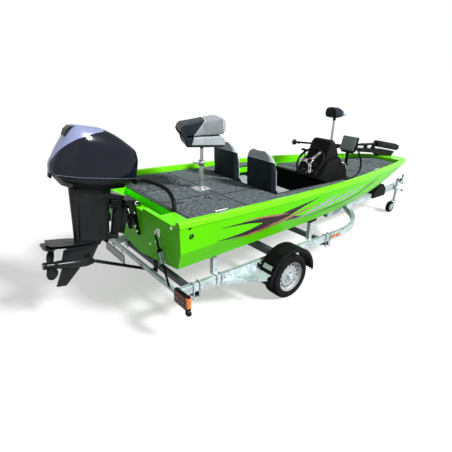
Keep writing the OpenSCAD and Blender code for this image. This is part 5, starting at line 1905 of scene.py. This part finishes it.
@dataclass
class Lighting(Assembly):
    """Both rear lamp clusters with their brackets and wires."""

    def build(self) -> None:
        """Builds the clusters in place of the CAD lamps."""
        parts = [piece for side in Side for piece in RearLamp(side=side).build()]
        whole = self.add(join("rear_lamps", parts))
        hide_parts("lamps")
        extra = []
        for side in SIDES:
            extra.append(block("bracket", (0.050, side * 0.985, 0.385), (0.028, 0.055, 0.060), ZINC, ROAD,
                               0.003))
            extra.append(block("marker_foot", (0.045, side * 1.000, 0.366), (0.040, 0.050, 0.040),
                               BLACK_PLASTIC, ROAD, 0.004))
            extra.append(tube("lamp_wire",
                              ((0.062, side * 0.86, 0.425), (0.085, side * 0.84, 0.400),
                               (0.13, side * 0.80, 0.378), (0.20, side * 0.742, 0.379)), 0.005, HOSE, ROAD,
                              8))
        self.add(join("lamp_brackets", extra))
        self.report()


@dataclass
class TowEnd(Assembly):
    """Coupling handle, jockey clamp, crank and wheel hub at the front."""

    jockey_x: float = 5.240
    jockey_y: float = -0.078

    def build(self) -> None:
        """Builds the fittings of the front end."""
        self.handle()
        self.jockey()
        self.report()

    def handle(self) -> None:
        """Adds the coupling's lever, its bolts and the collar of its ball cup."""
        parts = [prism("lever",
                       ((5.400, 0.505), (5.415, 0.530), (5.470, 0.545), (5.540, 0.560), (5.575, 0.552),
                        (5.570, 0.538), (5.480, 0.520), (5.430, 0.504)), -0.016, 0.016, BLACK_PLASTIC, ROAD,
                       "y", 0.005)]
        for x in (5.372, 5.402):
            for side in SIDES:
                parts.append(bolt((x, side * 0.0402, 0.470), (0, side, 0), 0.011, ROAD, ZINC))
        parts.append(lathe("collar", ((0.0380, 0.037), (0.0395, 0.0402), (0.0330, 0.0425), (0, 0.043)), ZINC,
                           ROAD @ shift(5.560, 0, 0.470), 36))
        self.add(join("coupling_fittings", parts))

    def jockey(self) -> None:
        """Adds the clamp's handle, the crank and the wheel's hub."""
        here = ROAD @ shift(self.jockey_x, self.jockey_y, 0)
        parts = [tube("clamp_handle", ((0.0, -0.024, 0.43), (0.0, -0.055, 0.43), (0.02, -0.085, 0.425)),
                      0.008, ZINC, here),
                 lathe("clamp_knob",
                       ((0, -0.02), (0.012, -0.02), (0.016, -0.006), (0.016, 0.008), (0, 0.014)),
                       BLACK_PLASTIC, here @ shift(0.028, -0.097, 0.423)),
                 lathe("clamp_ring", ((0.0243, -0.03), (0.031, -0.028), (0.031, 0.028), (0.0243, 0.03)),
                       ZINC, here @ shift(0, 0, 0.43), 36),
                 lathe("cap", ((0.0243, 0.598), (0.026, 0.600), (0.026, 0.612), (0.0, 0.6145)),
                       BLACK_PLASTIC, here, 32),
                 tube("crank",
                      ((0.0, 0, 0.612), (0.0, 0, 0.632), (0.012, -0.010, 0.640), (0.07, -0.045, 0.640)),
                      0.007, ZINC, here),
                 tube("crank_grip", ((0.07, -0.045, 0.634), (0.07, -0.045, 0.70)), 0.012, BLACK_PLASTIC,
                      here, 14, 1)]
        self.add(join("jockey_fittings", parts))
        wheel = here @ shift(-0.105, 0, 0.100) @ turned(90, "X")
        rings = []
        for s in SIDES:
            turn = wheel @ Matrix.Diagonal((1, 1, s, 1))
            ring = lathe("hub",
                         ((0.0085, 0.0335), (0.020, 0.0335), (0.022, 0.0308), (0.050, 0.0302),
                          (0.056, 0.0318), (0.062, 0.0302)), GREY_PLASTIC, turn, 40)
            rings.append(ring)
        self.add(join("jockey_hub", rings), "jockey_roller")


# Studio
@dataclass
class Studio:
    """Camera, lamps, floor and background."""

    camera_at: tuple[float, float, float] = (-3.937, -3.493, 2.452)
    yaw: float = 50.837
    pitch: float = -22.600
    roll: float = 1.570
    lens_mm: float = 31.03
    shift: tuple[float, float] = (0.00157, 0.00336)
    sky_strength: float = 0.26
    floor_tone: float = 0.5
    floor_bounce: float = 0.14
    floor_glow: float = 0.5
    floor_half: float = 60
    clip_end: float = 200
    suns: tuple[tuple[str, float, float, tuple[float, float, float]], ...] = (
        ("key_sun", 4.4, 12, (0.40, -0.85, 0.80)), ("fill_sun", 0.08, 40, (-0.6, -0.75, 0.5)))

    def build(self) -> None:
        """Sets up the camera, the lamps, the floor and the world."""
        self.camera()
        self.lamps()
        self.floor()
        self.world()
        bpy.context.scene.view_settings.view_transform = "Standard"

    def camera(self) -> None:
        """Places the camera as the photograph was taken."""
        y, p, r = (math.radians(a) for a in (self.yaw, self.pitch, self.roll))
        ahead = Vector((math.cos(p) * math.cos(y), math.cos(p) * math.sin(y), math.sin(p)))
        right = Vector((math.sin(y), -math.cos(y), 0))
        up = right.cross(ahead)
        right, up = right * math.cos(r) + up * math.sin(r), -right * math.sin(r) + up * math.cos(r)
        data = bpy.data.cameras.new("camera")
        data.lens = self.lens_mm
        data.sensor_width = 36
        data.shift_x, data.shift_y = self.shift
        data.clip_end = self.clip_end
        made = bpy.data.objects.new("camera", data)
        made.matrix_world = Matrix.Translation(self.camera_at) @ Matrix(
            (right, up, -ahead)).transposed().to_4x4()
        bpy.context.scene.collection.objects.link(made)
        bpy.context.scene.camera = made

    def lamps(self) -> None:
        """Adds a broad sun over the starboard side and a weak one from behind the camera."""
        for name, strength, angle, source in self.suns:
            data = bpy.data.lights.new(name, "SUN")
            data.energy = strength
            data.angle = math.radians(angle)
            made = bpy.data.objects.new(name, data)
            made.rotation_euler = Vector(source).to_track_quat("Z", "Y").to_euler()
            bpy.context.scene.collection.objects.link(made)

    def seen(self, tree: bpy.types.NodeTree) -> bpy.types.NodeSocket:
        """Adds the value that is 1 for camera, mirror and glass rays.

        Args:
            tree: Node tree to add to.

        Returns:
            The value's socket.
        """
        path = tree.nodes.new("ShaderNodeLightPath")
        total = path.outputs["Is Camera Ray"]
        for name in ("Is Glossy Ray", "Is Transmission Ray"):
            most = tree.nodes.new("ShaderNodeMath")
            most.operation = "MAXIMUM"
            tree.links.new(total, most.inputs[0])
            tree.links.new(path.outputs[name], most.inputs[1])
            total = most.outputs[0]
        return total

    def floor(self) -> None:
        """Lays a white floor that keeps the shadow."""
        material = bpy.data.materials.new("floor_white")
        material.use_nodes = True
        tree = material.node_tree
        tree.nodes.clear()
        out = tree.nodes.new("ShaderNodeOutputMaterial")
        diffuse = tree.nodes.new("ShaderNodeBsdfDiffuse")
        shade = tree.nodes.new("ShaderNodeMapRange")
        shade.inputs["To Min"].default_value = self.floor_bounce
        shade.inputs["To Max"].default_value = self.floor_tone
        tree.links.new(self.seen(tree), shade.inputs["Value"])
        tree.links.new(shade.outputs["Result"], diffuse.inputs["Color"])
        glow = tree.nodes.new("ShaderNodeEmission")
        glow.inputs["Color"].default_value = (1, 1, 1, 1)
        lift = tree.nodes.new("ShaderNodeMath")
        lift.operation = "MULTIPLY"
        lift.inputs[1].default_value = self.floor_glow
        tree.links.new(self.seen(tree), lift.inputs[0])
        tree.links.new(lift.outputs[0], glow.inputs["Strength"])
        add = tree.nodes.new("ShaderNodeAddShader")
        tree.links.new(diffuse.outputs[0], add.inputs[0])
        tree.links.new(glow.outputs[0], add.inputs[1])
        tree.links.new(add.outputs[0], out.inputs["Surface"])
        mesh = bpy.data.meshes.new("floor")
        h = self.floor_half
        mesh.from_pydata([(-h, -h, 0), (h, -h, 0), (h, h, 0), (-h, h, 0)], [], [(0, 1, 2, 3)])
        made = bpy.data.objects.new("floor", mesh)
        mesh.materials.append(material)
        bpy.context.scene.collection.objects.link(made)

    def world(self) -> None:
        """Makes a pale sky that is plain white where it is seen."""
        world = bpy.data.worlds.new("world")
        bpy.context.scene.world = world
        world.use_nodes = True
        tree = world.node_tree
        background = tree.nodes["Background"]
        background.inputs["Color"].default_value = (1, 1, 1, 1)
        span = tree.nodes.new("ShaderNodeMapRange")
        span.inputs["To Min"].default_value = self.sky_strength
        span.inputs["To Max"].default_value = 1.0
        tree.links.new(self.seen(tree), span.inputs["Value"])
        tree.links.new(span.outputs["Result"], background.inputs["Strength"])


def main() -> None:
    """Builds the object's looks and the studio in order."""
    logging.basicConfig(level=logging.INFO, format="%(name)s: %(message)s")
    Studio().build()
    for cushion in seats():
        cushion.build()
    CadDress().build()
    for group in (HullGraphics(), DeckDetail(), Cowl(), Outboard(), SeatFittings(), Helm(), Electronics(),
                  BowMotor(), RoadWheel(side=Side.STARBOARD), RoadWheel(side=Side.PORT), Chassis(),
                  Lighting(), TowEnd()):
        group.build()


if __name__ == "__main__":
    main()
